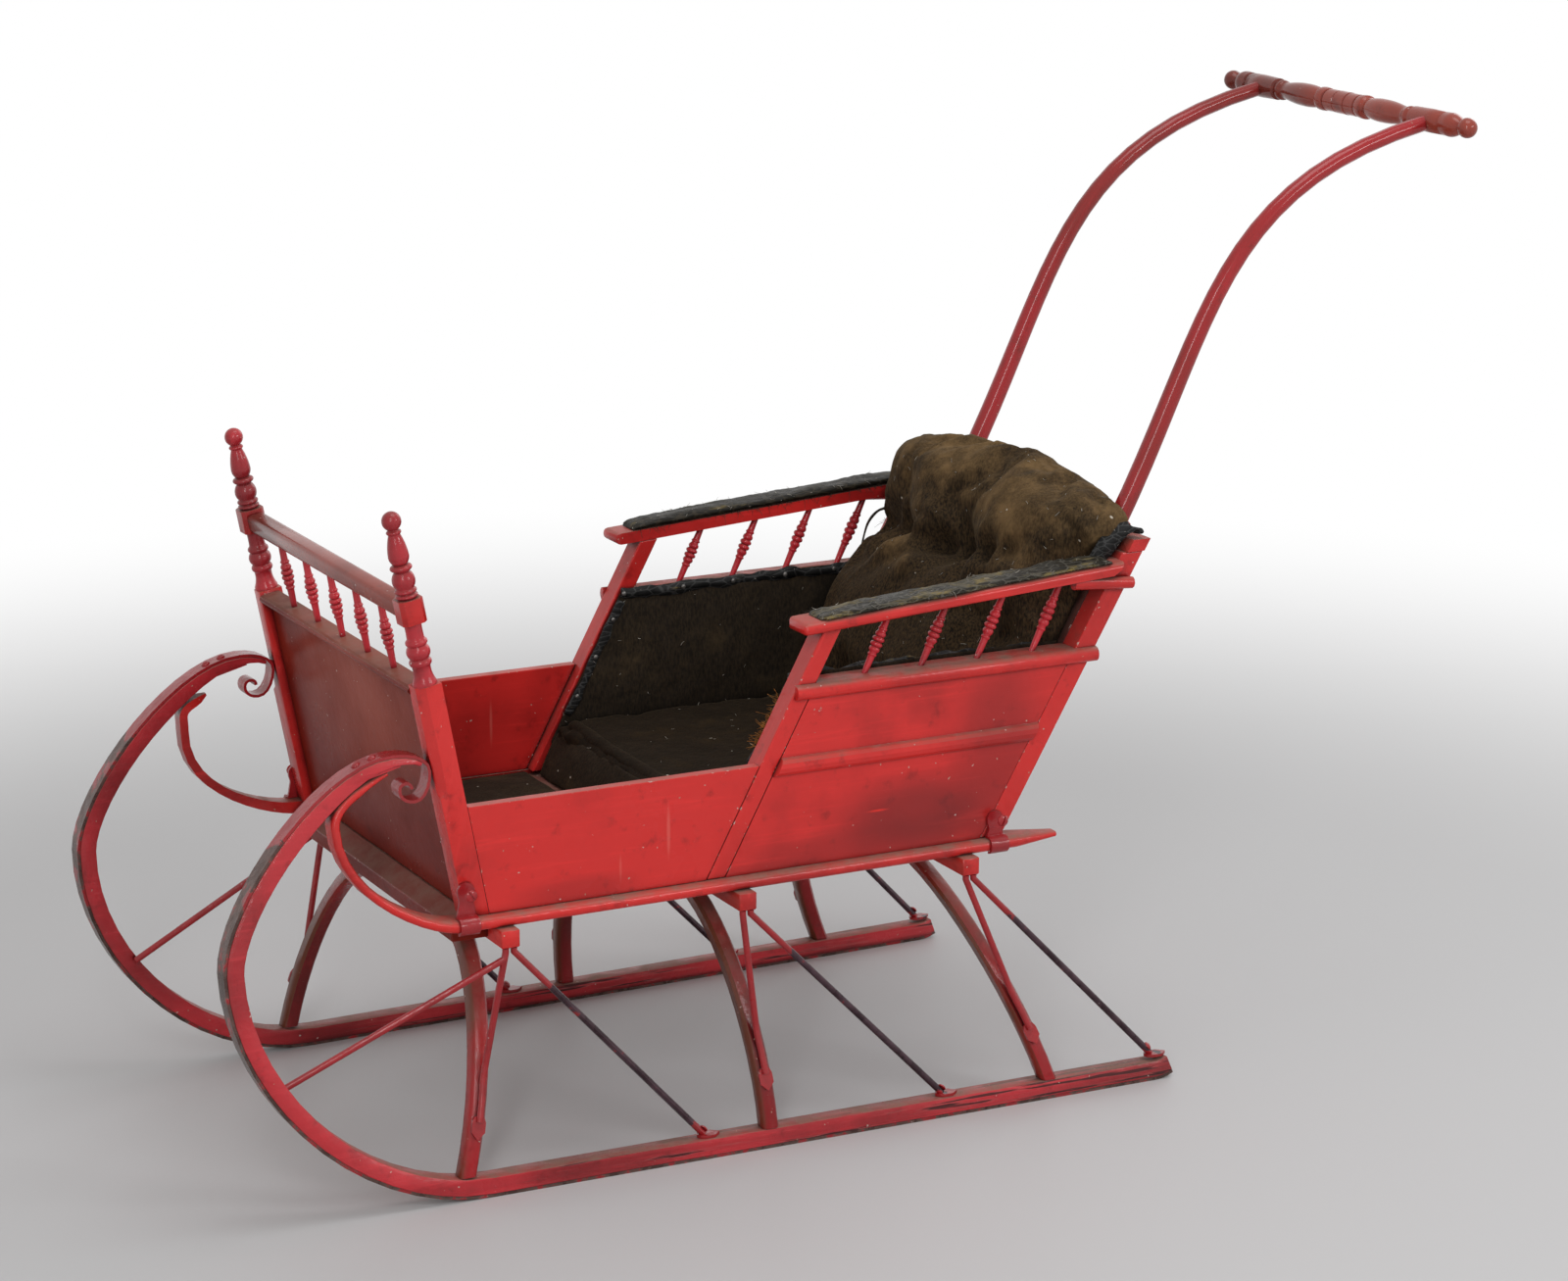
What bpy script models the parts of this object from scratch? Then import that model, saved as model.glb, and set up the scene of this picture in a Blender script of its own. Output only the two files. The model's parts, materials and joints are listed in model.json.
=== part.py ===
"""Baby push sleigh: a child's seat on two bent runners, pushed by a turned handlebar.

Metres. +X is the way the sleigh travels, +Y its left side, +Z up. The origin is on the
floor under the middle of the whole sleigh.
"""
import math

import bmesh
import bpy
from mathutils import Matrix, Vector
from mathutils.geometry import interpolate_bezier

FIT = 0.0003                    # gap left where two pieces meet
OVERLAP = 0.001                 # how far pieces that are joined to one solid run into each other
SIDES = (("left", 1), ("right", -1))

# Runners and their iron shoes. A runner lies in an upright plane that toes in and leans in.
SHOE_THICKNESS = 0.003
SHOE_WIDTH = 0.018
RUNNER_WIDTH = 0.020
RUNNER_DEPTH = 0.0165
TRACK_OUTSET = 0.0245           # runner outside the body's side, on the floor below the origin
TOE_IN = 0.02
RUNNER_LEAN = 0.07
TAIL_X = -0.322
TAIL_RISE = 0.005
TAIL_LENGTH = 0.022
TAIL_PULL = Vector((0.006, -0.003))
TAIL_EASE = 0.008
NOSE_START_X = 0.430            # where the straight sole ends
NOSE_SWEEP = 0.135
NOSE_FRONT = Vector((0.6855, 0.252))
NOSE_FRONT_LOW = 0.122          # how far the front knot pulls down, and up
NOSE_FRONT_HIGH = 0.063
NOSE_TOP = Vector((0.511, 0.440))
NOSE_TOP_FRONT = 0.074
NOSE_TOP_REAR = 0.022
WOOD_TIP = 0.0035
WOOD_TIP_TAPER = 0.150          # length over which the wood thins towards its tip
SCROLL = (                      # place from the nose's top in (x, z), pull before it, pull after it
    (Vector((-0.0375, -0.0200)), Vector((0, 0.013)), Vector((0, -0.014))),
    (Vector((-0.0200, -0.0480)), Vector((-0.011, 0)), Vector((0.009, 0))),
    (Vector((-0.0040, -0.0350)), Vector((0, -0.008)), Vector((0, 0.005))),
    (Vector((-0.0120, -0.0270)), Vector((0.005, 0)), Vector((-0.004, 0))),
    (Vector((-0.0190, -0.0340)), Vector((0, 0.004)), Vector((0, 0))),
)
SCROLL_STEPS = 5
WOOD_LAP = 3                    # points of the scroll that the wood still follows
NOSE_STEPS = 15
RUNNER_ROUND = 0.003
CLIP_OFFSET = 0.009             # middle of the iron clip, ahead of the nose's top
CLIP_LENGTH = 0.034
CLIP_WIDTH = 0.015
CLIP_THICKNESS = 0.003

# Bent wood bows and cross beams: beam place, then the place of the bow's feet on the runners.
BEAM_SIZE_X = 0.019
BEAM_HEIGHT = 0.018
BEAM_BOTTOM = 0.244
BEAM_OVERHANG = 0.019           # beam end outside the body's side
BOW_SIZE = 0.017
BOW_ROUND = 0.003
BOW_OUTSET = 0.002              # the bow's foot stands this far outside the runner's middle
BOW_KNEE = 0.101                # straight pull of the leg above its foot
BOW_SHOULDER = 0.675            # pull of the crown's curve, as a share of the track
BOW_CROWN = 0.327
BOW_STEPS = 13
STATIONS = (                    # name, beam x, foot x, foot x of the diagonal brace
    ("front", 0.406, 0.456, 0.205),
    ("mid", 0.156, 0.136, -0.058),
    ("rear", -0.092, -0.177, -0.300),
)

# Forged iron rods.
ROD_RADIUS = 0.0035
FOOT_LENGTH = 0.028
FOOT_WIDTH = 0.014
FOOT_THICKNESS = 0.003
FOOT_SHOULDER = 0.0098          # where the foot starts to narrow, and its point, from its centre
FOOT_POINT = 0.0174
STAY_INSET = 0.0035             # rod centre inside the beam's end
ROD_START = 0.004               # short straight piece under the beam
ROD_BEND = 0.12                 # where a stay leaves its leg, as a share of its free length
STAY_FOOT_Z = 0.074
STAY_BEND_Z = 0.112
BRACE_SPACING = 0.0085          # stay and brace, apart under the beam's end
NOSE_BRACE_X = 0.628
NOSE_BRACE_Z = 0.129
NOSE_BRACE_DROP = 0.010         # where it leaves the stay, below the beam

# Sills: straight along the body, then a loop up to the runner's nose.
SILL_HEIGHT = 0.012
SILL_WIDTH = 0.026
SILL_INSET = 0.001              # sill centre inside the body's side
SILL_TAIL_X = -0.198
SILL_TAPER_X = -0.150
SILL_TAIL_SCALE = 0.45
SILL_FRONT_X = 0.4545
LOOP_SCALE = 0.72               # the bar is shaved down to this share in its loop
LOOP_START_PULL = Vector((0.030, 0.002))
LOOP_FRONT = Vector((0.570, 0.378))
LOOP_LOW_PULL = 0.068
LOOP_HIGH_PULL = 0.018
LOOP_TIP_SCALE = 0.38           # and to this share at its tip, under the nose
LOOP_TIP_OFFSET = 0.004         # the tip, ahead of the nose's top
LOOP_TIP_PULL = Vector((0.034, -0.013))
LOOP_STEPS = 11
LOOP_SHAVED = 6                 # steps over which the bar thins
LOOP_POINTED = 4                # steps over which its tip tapers
LOOP_DROOP = 0.012              # the right loop is broken and hangs lower
LOOP_BREAK = Vector((0.545, 0.401))
LOOP_SPLINTER = (0.62, 0.22)    # thickness shares of the broken end's last two points

# Body box.
BODY_HALF = 0.220               # outer face of the side panels
PANEL_THICKNESS = 0.012
FLOOR_THICKNESS = 0.008
FLOOR_REAR_X = -0.140
LOW_PANEL_TOP = 0.382
STILE_DEPTH = 0.025             # across the sleigh
STILE_WIDTH = 0.0195            # along the sleigh, level
FRONT_STILE_X = 0.1912          # front edge at the sill
STILE_LEAN = 0.54
BACK_X = -0.1365                # rear edge of the rear stile at the sill
BACK_LEAN = 0.579
REAR_STILE_WIDTH = 0.024
BACK_RISE = 0.042               # top of the rear stiles above the armrest's front
GALLERY_DROP = 0.065            # gallery rail below the armrest's front
GALLERY_HEIGHT = 0.015
GALLERY_PROUD = 0.008
GALLERY_LAP = 0.004
MOULDING_DROP = 0.065           # middle moulding below the gallery rail
MOULDING_HEIGHT = 0.0175
MOULDING_PROUD = 0.008
EDGE_BREAK = 0.0012

# Front rail and dash, which leans forward.
DASH_X = 0.432
DASH_LEAN = 0.19
POST_SIZE = 0.024
POST_SQUARE = 0.2331            # length of the square part, along the lean
DASH_RECESS = 0.009
DASH_THICKNESS = 0.010
CAP_HEIGHT = 0.008
CAP_PROUD = 0.002               # cap in front of the posts' faces
CAP_TOP = 0.230
CAP_MOULDING = 0.006
RAIL_BOTTOM = 0.297
RAIL_HEIGHT = 0.018
RAIL_DEPTH = 0.018
RAIL_ROUND = 0.004
DASH_SPINDLES = 5
DASH_BEADS = (0.27, 0.72)        # beaded stretch, as shares of a dash spindle
FRONT_RAIL_BOTTOM = 0.247
FRONT_RAIL_FACE_X = 0.455
FRONT_RAIL_SHOULDER_Z = 0.263
FRONT_RAIL_UNDERCUT = 0.003
FRONT_RAIL_TOP_X = 0.4365
POST_PROFILE = (                # height above the square part, radius; a turned finial
    (0.000, 0.0118), (0.006, 0.0108), (0.015, 0.0087), (0.0185, 0.0090), (0.0205, 0.0105),
    (0.0235, 0.0105), (0.0255, 0.0092), (0.028, 0.0104), (0.032, 0.0110), (0.036, 0.0104),
    (0.0385, 0.0092), (0.0405, 0.0104), (0.0425, 0.0104), (0.0455, 0.0084), (0.058, 0.0084),
)
POST_TOP_PROFILE = (
    (0.084, 0.0090), (0.086, 0.0104), (0.0885, 0.0104), (0.090, 0.0092), (0.0915, 0.0104),
    (0.0935, 0.0104), (0.096, 0.0095), (0.100, 0.0104), (0.105, 0.0096), (0.110, 0.0083),
    (0.1135, 0.0088), (0.1145, 0.0103), (0.117, 0.0103), (0.119, 0.0075), (0.1215, 0.0085),
    (0.1256, 0.0104), (0.133, 0.0096), (0.142, 0.0076), (0.148, 0.0060), (0.1495, 0.0066),
    (0.151, 0.0057),
)
POST_BLOCK_LOW = 0.061
POST_BLOCK_HIGH = 0.085
BLOCK_CHAMFER = 0.004
CHAMFER_FACE = 0.011            # flat taken off each post's outer front corner
CHAMFER_LOW = 0.118             # where it runs out, up the post
CHAMFER_TONGUE = 0.014          # length of the lamb's tongue at its end
FINIAL_HEIGHT = 0.160
FINIAL_RADIUS = 0.0091
SPINDLE_BEADS = (0.0055, 0.0063, 0.0063, 0.0055)
SPINDLE_VALLEY = 0.0041
SPINDLE_COLLAR = 0.0046
SPINDLE_END_RADIUS = 0.0029
SPINDLE_WAIST_RADIUS = 0.0035
TURNED_STEPS = 10
BALL_FOOT = -50                 # where a ball end meets its neck, and its last ring, in degrees
BALL_POLE = 82
BALL_STEPS = 6
SPINDLE_STEPS = 7

# Side galleries and armrests.
SIDE_SPINDLES = 4
SIDE_SPINDLE_FIRST_X = 0.014
SIDE_SPINDLE_PITCH = 0.063
SPINDLE_LEAN = 0.478
SIDE_BEADS = (0.27, 0.74)
ARM_FRONT_X = 0.0915
ARM_FRONT_Z = 0.508             # underside at the front tip
ARM_SLOPE = 0.066
ARM_THICKNESS = 0.012
ARM_OUTSET = 0.013              # armrest's outer edge outside the body's side
ARM_ROUND = 0.0055
PAD_THICKNESS = 0.009
PAD_FRONT_SETBACK = 0.020
PAD_REAR_SETBACK = 0.012
PAD_EDGE = 0.003
PAD_ROUND = 0.0035
CLEAT_RADIUS = 0.006
CLEAT_LAP = 0.049               # cleat ahead of the armrest's rear end
CLEAT_LENGTH = 0.068
CLEAT_DROP = 0.11

# Back.
BACK_BOARD_THICKNESS = 0.010
CREST_HEIGHT = 0.012
CREST_DEPTH = 0.0195
CREST_PROUD = 0.002             # crest rail outside the body's side
HEAD_INSET = 0.024
HEAD_SHOULDER = 0.020
HEAD_RISE = 0.052
HEAD_THICKNESS = 0.0065
HEAD_FULLNESS = 0.8             # below 1 the arch is fuller at its shoulders than a sine

# Upholstery.
SEAT_BOARD_BOTTOM = 0.291
SEAT_BOARD_THICKNESS = 0.012
CUSHION_THICKNESS = 0.025
CUSHION_ROUND = 0.007
APRON_THICKNESS = 0.005
RISER_THICKNESS = 0.012
LINING_THICKNESS = 0.003
LINING_PROUD = 0.005
BACK_CUSHION_THICKNESS = 0.034
BACK_CUSHION_INSET = 0.006      # cushion's wide part inside the body's side
BACK_CUSHION_ROUND = 0.008
BACK_CUSHION_FULLNESS = 0.7
BACK_CUSHION_STEP = 0.006       # height over which it widens
BACK_CUSHION_WAIST = 0.012      # above the stiles' tops, where it starts to spread over them
BACK_CUSHION_SHOULDER = 0.036
BACK_CUSHION_TOP = 0.062

# Handle.
ARM_ROD_INSET = 0.065           # arm's centre line inside the body's side
ARM_ROD_RADIUS = 0.0105
ARM_ROD_TIP_RADIUS = 0.008
ARM_ROD_FOOT_Z = 0.345
ARM_ROD_BEND = 0.010            # end of its straight foot, above the rear stiles
ARM_ROD_LOW_PULL = Vector((-0.4135, 0.7601))    # the curve above the bend, in (x, z)
ARM_ROD_HIGH_PULL = Vector((-0.4092, 0.8978))
ARM_ROD_STEPS = 18
ARM_ROD_SIDES = 3               # resolution of its round section
BAR_X = -0.673
BAR_Z = 0.950
SOCKET_DEPTH = 0.007
SOCKET_CLEARANCE = 0.0007
BAR_SOCKET_RADIUS = 0.0122      # bar radius where the arms enter
BAR_PROFILE = (                 # distance from the middle, radius
    (0.0000, 0.0120), (0.0085, 0.0120), (0.0100, 0.0106), (0.0115, 0.0117), (0.0270, 0.0117),
    (0.0290, 0.0100), (0.0310, 0.0119), (0.0400, 0.0126), (0.0430, 0.0116), (0.0455, 0.0100),
    (0.0580, 0.0114), (0.0730, 0.0125), (0.0880, 0.0116), (0.1070, 0.0089), (0.1140, 0.0092),
    (0.1175, 0.0108), (0.1225, 0.0104), (0.1245, 0.0094), (0.1270, 0.0115), (0.1550, 0.0124),
    (0.1770, 0.0118), (0.1795, 0.0104), (0.1820, 0.0123), (0.1890, 0.0123), (0.1970, 0.0106),
    (0.2035, 0.0073), (0.2070, 0.0050),
)
BAR_JOINT_Y = 0.155             # where the arms enter, in this profile
BAR_BALL_Y = 0.217
BAR_BALL_RADIUS = 0.0103

# Corner straps.
STRAP_WIDTH = 0.020
STRAP_HEAD_RADIUS = 0.009
STRAP_WAIST = 0.0135
STRAP_THICKNESS = 0.003
STRAP_REAR_X = -0.128
STRAP_FRONT_TOP = 0.310
STRAP_REAR_TOP = 0.302

for old in list(bpy.data.objects):
    bpy.data.objects.remove(old, do_unlink=True)

parts = bpy.data.collections.new("baby_push_sleigh")
guides = bpy.data.collections.new("cutters_and_guides")
bpy.context.scene.collection.children.link(parts)
bpy.context.scene.collection.children.link(guides)


# Materials
def finish(name, colour, roughness, metallic=0.0):
    """Return a Principled material with the sub-part's colour and gloss."""
    material = bpy.data.materials.new(name)
    material.use_nodes = True
    shader = material.node_tree.nodes["Principled BSDF"]
    shader.inputs["Base Color"].default_value = (*colour, 1.0)
    shader.inputs["Roughness"].default_value = roughness
    shader.inputs["Metallic"].default_value = metallic
    return material


RED = finish("red_paint", (0.48, 0.020, 0.022), 0.38)
DARK_RED = finish("dark_red_paint", (0.20, 0.014, 0.014), 0.50)
HANDLE_RED = finish("handle_paint", (0.30, 0.040, 0.028), 0.42)
IRON = finish("forged_iron", (0.060, 0.042, 0.045), 0.55, 0.7)
LEATHER = finish("dark_leather", (0.018, 0.014, 0.012), 0.45)
CLOTH = finish("worn_cloth", (0.030, 0.022, 0.014), 0.80)


# Helpers
def place(name, mesh, material, guide=False):
    """Put a mesh into the scene as one named sub-part, or as a cutter or guide."""
    thing = bpy.data.objects.new(name, mesh)
    mesh.name = name
    if guide:
        guides.objects.link(thing)
        thing.hide_render = True
        thing.display_type = 'WIRE'
        return thing
    parts.objects.link(thing)
    mesh.materials.clear()
    mesh.materials.append(material)
    mesh.shade_smooth()
    mesh.set_sharp_from_angle(angle=math.radians(32))
    return thing


def mesh_of(curve):
    """Turn a curve into a mesh with its caps welded on, and remove the curve."""
    holder = bpy.data.objects.new("sweep", curve)
    bpy.context.scene.collection.objects.link(holder)
    bpy.context.view_layer.update()
    evaluated = holder.evaluated_get(bpy.context.evaluated_depsgraph_get())
    mesh = bpy.data.meshes.new_from_object(evaluated)
    bpy.data.objects.remove(holder)
    shape = bmesh.new()
    shape.from_mesh(mesh)
    bmesh.ops.remove_doubles(shape, verts=shape.verts, dist=0.00002)
    bmesh.ops.recalc_face_normals(shape, faces=shape.faces)
    shape.to_mesh(mesh)
    shape.free()
    return mesh


def poly_curve(points, radii=None, closed=False, flat=False):
    """Return a curve with one straight-sided spline through the points."""
    curve = bpy.data.curves.new("path", 'CURVE')
    curve.dimensions = '2D' if flat else '3D'
    spline = curve.splines.new('POLY')
    spline.points.add(len(points) - 1)
    for i, point in enumerate(points):
        place_3d = Vector(point).to_3d()
        spline.points[i].co = (*place_3d, 1.0)
        spline.points[i].radius = radii[i] if radii else 1.0
    spline.use_cyclic_u = closed
    return curve


def flat_mesh(outline, thickness):
    """Extrude a closed outline in local XY to a board, centred on its plane."""
    curve = poly_curve(outline, closed=True, flat=True)
    curve.fill_mode = 'BOTH'
    curve.extrude = thickness / 2
    return mesh_of(curve)


def swept_mesh(path, section, radii=None):
    """Sweep a closed section along a path in local XY; section x is across, y is out of plane."""
    curve = poly_curve(path, radii, flat=True)
    profile = poly_curve(section, closed=True, flat=True)
    guide = bpy.data.objects.new("section", profile)
    bpy.context.scene.collection.objects.link(guide)
    curve.bevel_mode = 'OBJECT'
    curve.bevel_object = guide
    curve.use_fill_caps = True
    mesh = mesh_of(curve)
    bpy.data.objects.remove(guide)
    return mesh


def rod_mesh(path, radius, radii=None, resolution=2):
    """Return a round rod along a 3D path."""
    curve = poly_curve(path, radii)
    curve.bevel_depth = radius
    curve.bevel_resolution = resolution
    curve.use_fill_caps = True
    return mesh_of(curve)


def box_mesh(low, high):
    """Return a box between two corners."""
    low = Vector(low)
    high = Vector(high)
    shape = bmesh.new()
    bmesh.ops.create_cube(shape, size=1.0)
    size = high - low
    bmesh.ops.scale(shape, vec=size, verts=shape.verts)
    bmesh.ops.translate(shape, vec=(low + high) / 2, verts=shape.verts)
    mesh = bpy.data.meshes.new("box")
    shape.to_mesh(mesh)
    shape.free()
    return mesh


def turned_mesh(profile, steps):
    """Turn a profile of (height, radius) about local Z, listed from the bottom up."""
    outline = [(0.0, profile[0][0])]
    outline += [(radius, height) for height, radius in profile]
    outline.append((0.0, profile[-1][0]))
    outline.reverse()
    mesh = bpy.data.meshes.new("profile")
    mesh.from_pydata([(x, 0.0, z) for x, z in outline],
                     [(i, i + 1) for i in range(len(outline) - 1)], [])
    holder = bpy.data.objects.new("turning", mesh)
    bpy.context.scene.collection.objects.link(holder)
    screw = holder.modifiers.new("turn", 'SCREW')
    screw.steps = steps
    screw.render_steps = steps
    screw.use_merge_vertices = True
    screw.merge_threshold = 0.00005
    bpy.context.view_layer.update()
    evaluated = holder.evaluated_get(bpy.context.evaluated_depsgraph_get())
    turned = bpy.data.meshes.new_from_object(evaluated)
    bpy.data.objects.remove(holder)
    return turned


def ball_points(centre, radius, first, last, count):
    """Return profile points round a ball, from one angle to another in degrees."""
    points = []
    for i in range(count + 1):
        angle = math.radians(first + (last - first) * i / count)
        points.append((centre + radius * math.sin(angle), radius * math.cos(angle)))
    return points


def bevel(thing, width, segments=1, angle=40):
    """Break the sharp edges of a piece."""
    modifier = thing.modifiers.new("edges", 'BEVEL')
    modifier.width = width
    modifier.segments = segments
    modifier.limit_method = 'ANGLE'
    modifier.angle_limit = math.radians(angle)
    modifier.use_clamp_overlap = True
    return thing


def round_edges(thing, width, segments, chosen):
    """Round the edges whose middle passes a test."""
    shape = bmesh.new()
    shape.from_mesh(thing.data)
    weights = shape.edges.layers.float.new("bevel_weight_edge")
    for edge in shape.edges:
        edge[weights] = float(chosen((edge.verts[0].co + edge.verts[1].co) / 2))
    shape.to_mesh(thing.data)
    shape.free()
    bevel(thing, width, segments).modifiers[-1].limit_method = 'WEIGHT'


def boolean(thing, mesh, operation):
    """Join a mesh to a piece or cut it away."""
    tool = place(thing.name + "_tool", mesh, None, guide=True)
    modifier = thing.modifiers.new(operation.lower(), 'BOOLEAN')
    modifier.operation = operation
    modifier.solver = 'EXACT'
    modifier.object = tool
    return thing


def curve_through(knots, steps):
    """Sample a Bezier through knots of (point, handle before, handle after)."""
    points = []
    for (start, _, pull), (end, push, _) in zip(knots, knots[1:]):
        piece = interpolate_bezier(start, pull, push, end, steps + 1)
        points += piece if not points else piece[1:]
    return [Vector(point[:2]) for point in points]


def shifted(path, distances):
    """Return the path moved to its left by a distance at each point."""
    moved = []
    for i, point in enumerate(path):
        before = path[max(i - 1, 0)]
        after = path[min(i + 1, len(path) - 1)]
        along = (after - before).normalized()
        moved.append(point + Vector((-along.y, along.x)) * distances[i])
    return moved


def upright(mesh):
    """Stand a piece drawn in local XY up in the XZ plane."""
    mesh.transform(Matrix.Rotation(math.radians(90), 4, 'X'))
    return mesh


def along_x(outline, low, high, side):
    """Extrude an outline drawn in (distance from the centre line, z) along X, on one side."""
    mesh = flat_mesh(outline, high - low)
    mesh.transform(Matrix(((0, 0, 1, (low + high) / 2), (side, 0, 0, 0), (0, 1, 0, 0), (0, 0, 0, 1))))
    if side < 0:
        mesh.flip_normals()
    return mesh


def half_round(base, proud, low, high, steps=6):
    """Return a nosing's section: a flat back at a distance, and a rounded outer edge."""
    land = proud * 0.2
    points = [(base, low)]
    for i in range(steps + 1):
        angle = math.radians(-90 + 180 * i / steps)
        across = base + land + (proud - land) * math.cos(angle)
        points.append((across, (low + high) / 2 + (high - low) / 2 * math.sin(angle)))
    points.append((base, high))
    return points


def rounded_section(across, deep, radius, corner_steps=2):
    """Return a rectangle with rounded corners, centred on the origin."""
    points = []
    for corner in range(4):
        turn = math.radians(90 * corner)
        sign_x = 1 if corner in (0, 3) else -1
        sign_y = 1 if corner in (0, 1) else -1
        for i in range(corner_steps + 1):
            angle = turn + math.radians(90) * i / corner_steps
            x = sign_x * (across / 2 - radius) + radius * math.cos(angle)
            y = sign_y * (deep / 2 - radius) + radius * math.sin(angle)
            points.append((x, y))
    return points


def back_at(z):
    """Return x of the back plane, the rear edge of the rear stiles, at a height."""
    return BACK_X - BACK_LEAN * (z - body_bottom)


def front_stile_at(z):
    """Return x of the front stile's front edge at a height."""
    return FRONT_STILE_X - STILE_LEAN * (z - body_bottom)


def runner_y(x, z):
    """Return the distance of a runner's middle plane from the centre line."""
    return track_half - TOE_IN * x - RUNNER_LEAN * z


def runner_place(side):
    """Return the matrix that shears an upright piece into its runner's plane."""
    return Matrix(((1, 0, 0, 0),
                   (-side * TOE_IN, 1, -side * RUNNER_LEAN, side * track_half),
                   (0, 0, 1, 0),
                   (0, 0, 0, 1)))


# Heights that follow from the pieces below
runner_top = SHOE_THICKNESS + FIT + RUNNER_DEPTH
beam_top = BEAM_BOTTOM + BEAM_HEIGHT
sill_bottom = beam_top + FIT
sill_middle = sill_bottom + SILL_HEIGHT / 2
sill_top = sill_bottom + SILL_HEIGHT
body_bottom = sill_top + FIT
floor_top = beam_top + FIT + FLOOR_THICKNESS
sill_middle_y = BODY_HALF - SILL_INSET
sill_inner = sill_middle_y - SILL_WIDTH / 2
track_half = BODY_HALF + TRACK_OUTSET
beam_half = BODY_HALF + BEAM_OVERHANG
stay_top_y = beam_half - STAY_INSET
post_y = BODY_HALF - POST_SIZE / 2
stile_inner = BODY_HALF - STILE_DEPTH
rear_stile_top = ARM_FRONT_Z + BACK_RISE
gallery_bottom = ARM_FRONT_Z - GALLERY_DROP
moulding_z = gallery_bottom - MOULDING_DROP
arm_rod_y = BODY_HALF - ARM_ROD_INSET
arm_rod_bend_z = rear_stile_top + ARM_ROD_BEND
arm_inner = stile_inner
arm_outer = BODY_HALF + ARM_OUTSET
crest_half = BODY_HALF + CREST_PROUD
head_half = BODY_HALF - HEAD_INSET
cushion_half = BODY_HALF - BACK_CUSHION_INSET
clip_x = NOSE_TOP.x + CLIP_OFFSET
loop_tip_x = NOSE_TOP.x + LOOP_TIP_OFFSET
dash_angle = math.atan(DASH_LEAN)
back_angle = math.atan(BACK_LEAN)
DASH = Matrix.Translation((DASH_X, 0, body_bottom)) @ Matrix.Rotation(dash_angle, 4, 'Y')


# Runners and shoes
def shoe_line():
    """Return the outer line of the shoe, in (x, z), from the tail to the end of the scroll."""
    tail = Vector((TAIL_X, TAIL_RISE))
    sole = Vector((TAIL_X + TAIL_LENGTH, 0))
    lift = curve_through(((tail, None, tail + TAIL_PULL), (sole, sole - Vector((TAIL_EASE, 0)), None)), 3)
    start = Vector((NOSE_START_X, 0))
    sweep = curve_through((
        (start, None, start + Vector((NOSE_SWEEP, 0))),
        (NOSE_FRONT, NOSE_FRONT - Vector((0, NOSE_FRONT_LOW)), NOSE_FRONT + Vector((0, NOSE_FRONT_HIGH))),
        (NOSE_TOP, NOSE_TOP + Vector((NOSE_TOP_FRONT, 0)), NOSE_TOP - Vector((NOSE_TOP_REAR, 0))),
    ), NOSE_STEPS)
    knots = [(NOSE_TOP, None, NOSE_TOP - Vector((NOSE_TOP_REAR, 0)))]
    for offset, pull_before, pull_after in SCROLL:
        knot = NOSE_TOP + offset
        knots.append((knot, knot + pull_before, knot + pull_after))
    scroll = curve_through(knots, SCROLL_STEPS)
    return lift + sweep + scroll[1:], len(lift) + len(sweep) + WOOD_LAP


outer_line, wood_count = shoe_line()
wood_line = outer_line[:wood_count]


def wood_depths():
    """Return the runner's depth at each point of its line, thinned towards the tip."""
    remaining = 0.0
    depths = []
    for i in range(len(wood_line) - 1, -1, -1):
        if i < len(wood_line) - 1:
            remaining += (wood_line[i + 1] - wood_line[i]).length
        share = min(remaining / WOOD_TIP_TAPER, 1.0)
        depths.append(WOOD_TIP + (RUNNER_DEPTH - WOOD_TIP) * math.sin(share * math.pi / 2))
    depths.reverse()
    return depths


wood_outer = shifted(wood_line, [SHOE_THICKNESS + FIT] * len(wood_line))
wood_inner = shifted(wood_line, [SHOE_THICKNESS + FIT + depth for depth in wood_depths()])


def nose_underside(x):
    """Return height and slope of the nose's underside, where the clip sits."""
    for start, end in zip(wood_inner, wood_inner[1:]):
        if start.y > NOSE_FRONT.y and end.x <= x <= start.x:
            slope = (end.y - start.y) / (end.x - start.x)
            return start.y + slope * (x - start.x), slope
    return NOSE_TOP.y - RUNNER_DEPTH, 0.0


def sole_top(x, reach=0.0):
    """Return the height of the runner's top along its sole, the highest within a reach of x."""
    highest = 0.0
    for place_x in (x - reach, x, x + reach):
        for start, end in zip(wood_inner, wood_inner[1:]):
            if start.y < NOSE_FRONT.y and start.x <= place_x <= end.x:
                share = (place_x - start.x) / (end.x - start.x)
                highest = max(highest, start.y + share * (end.y - start.y))
    return highest


def clip_mesh():
    """Return the iron clip plate let into the nose's underside, before its lean."""
    height, slope = nose_underside(clip_x)
    plate = box_mesh((-CLIP_LENGTH / 2, -CLIP_WIDTH / 2, -CLIP_THICKNESS),
                     (CLIP_LENGTH / 2, CLIP_WIDTH / 2, CLIP_THICKNESS / 2))
    plate.transform(Matrix.Rotation(-math.atan(slope), 4, 'Y'))
    plate.transform(Matrix.Translation((clip_x, 0, height)))
    return plate


for side_name, side in SIDES:
    outline = wood_outer + wood_inner[::-1]
    wood = upright(flat_mesh(outline, RUNNER_WIDTH))
    wood.transform(runner_place(side))
    runner = bevel(place("runner_" + side_name, wood, RED), RUNNER_ROUND)
    clip = clip_mesh()
    clip.transform(runner_place(side))
    boolean(runner, clip, 'UNION')

    strip_inner = shifted(outer_line, [SHOE_THICKNESS] * len(outer_line))
    strip = upright(flat_mesh(outer_line + strip_inner[::-1], SHOE_WIDTH))
    strip.transform(runner_place(side))
    place("shoe_" + side_name, strip, IRON)


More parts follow.
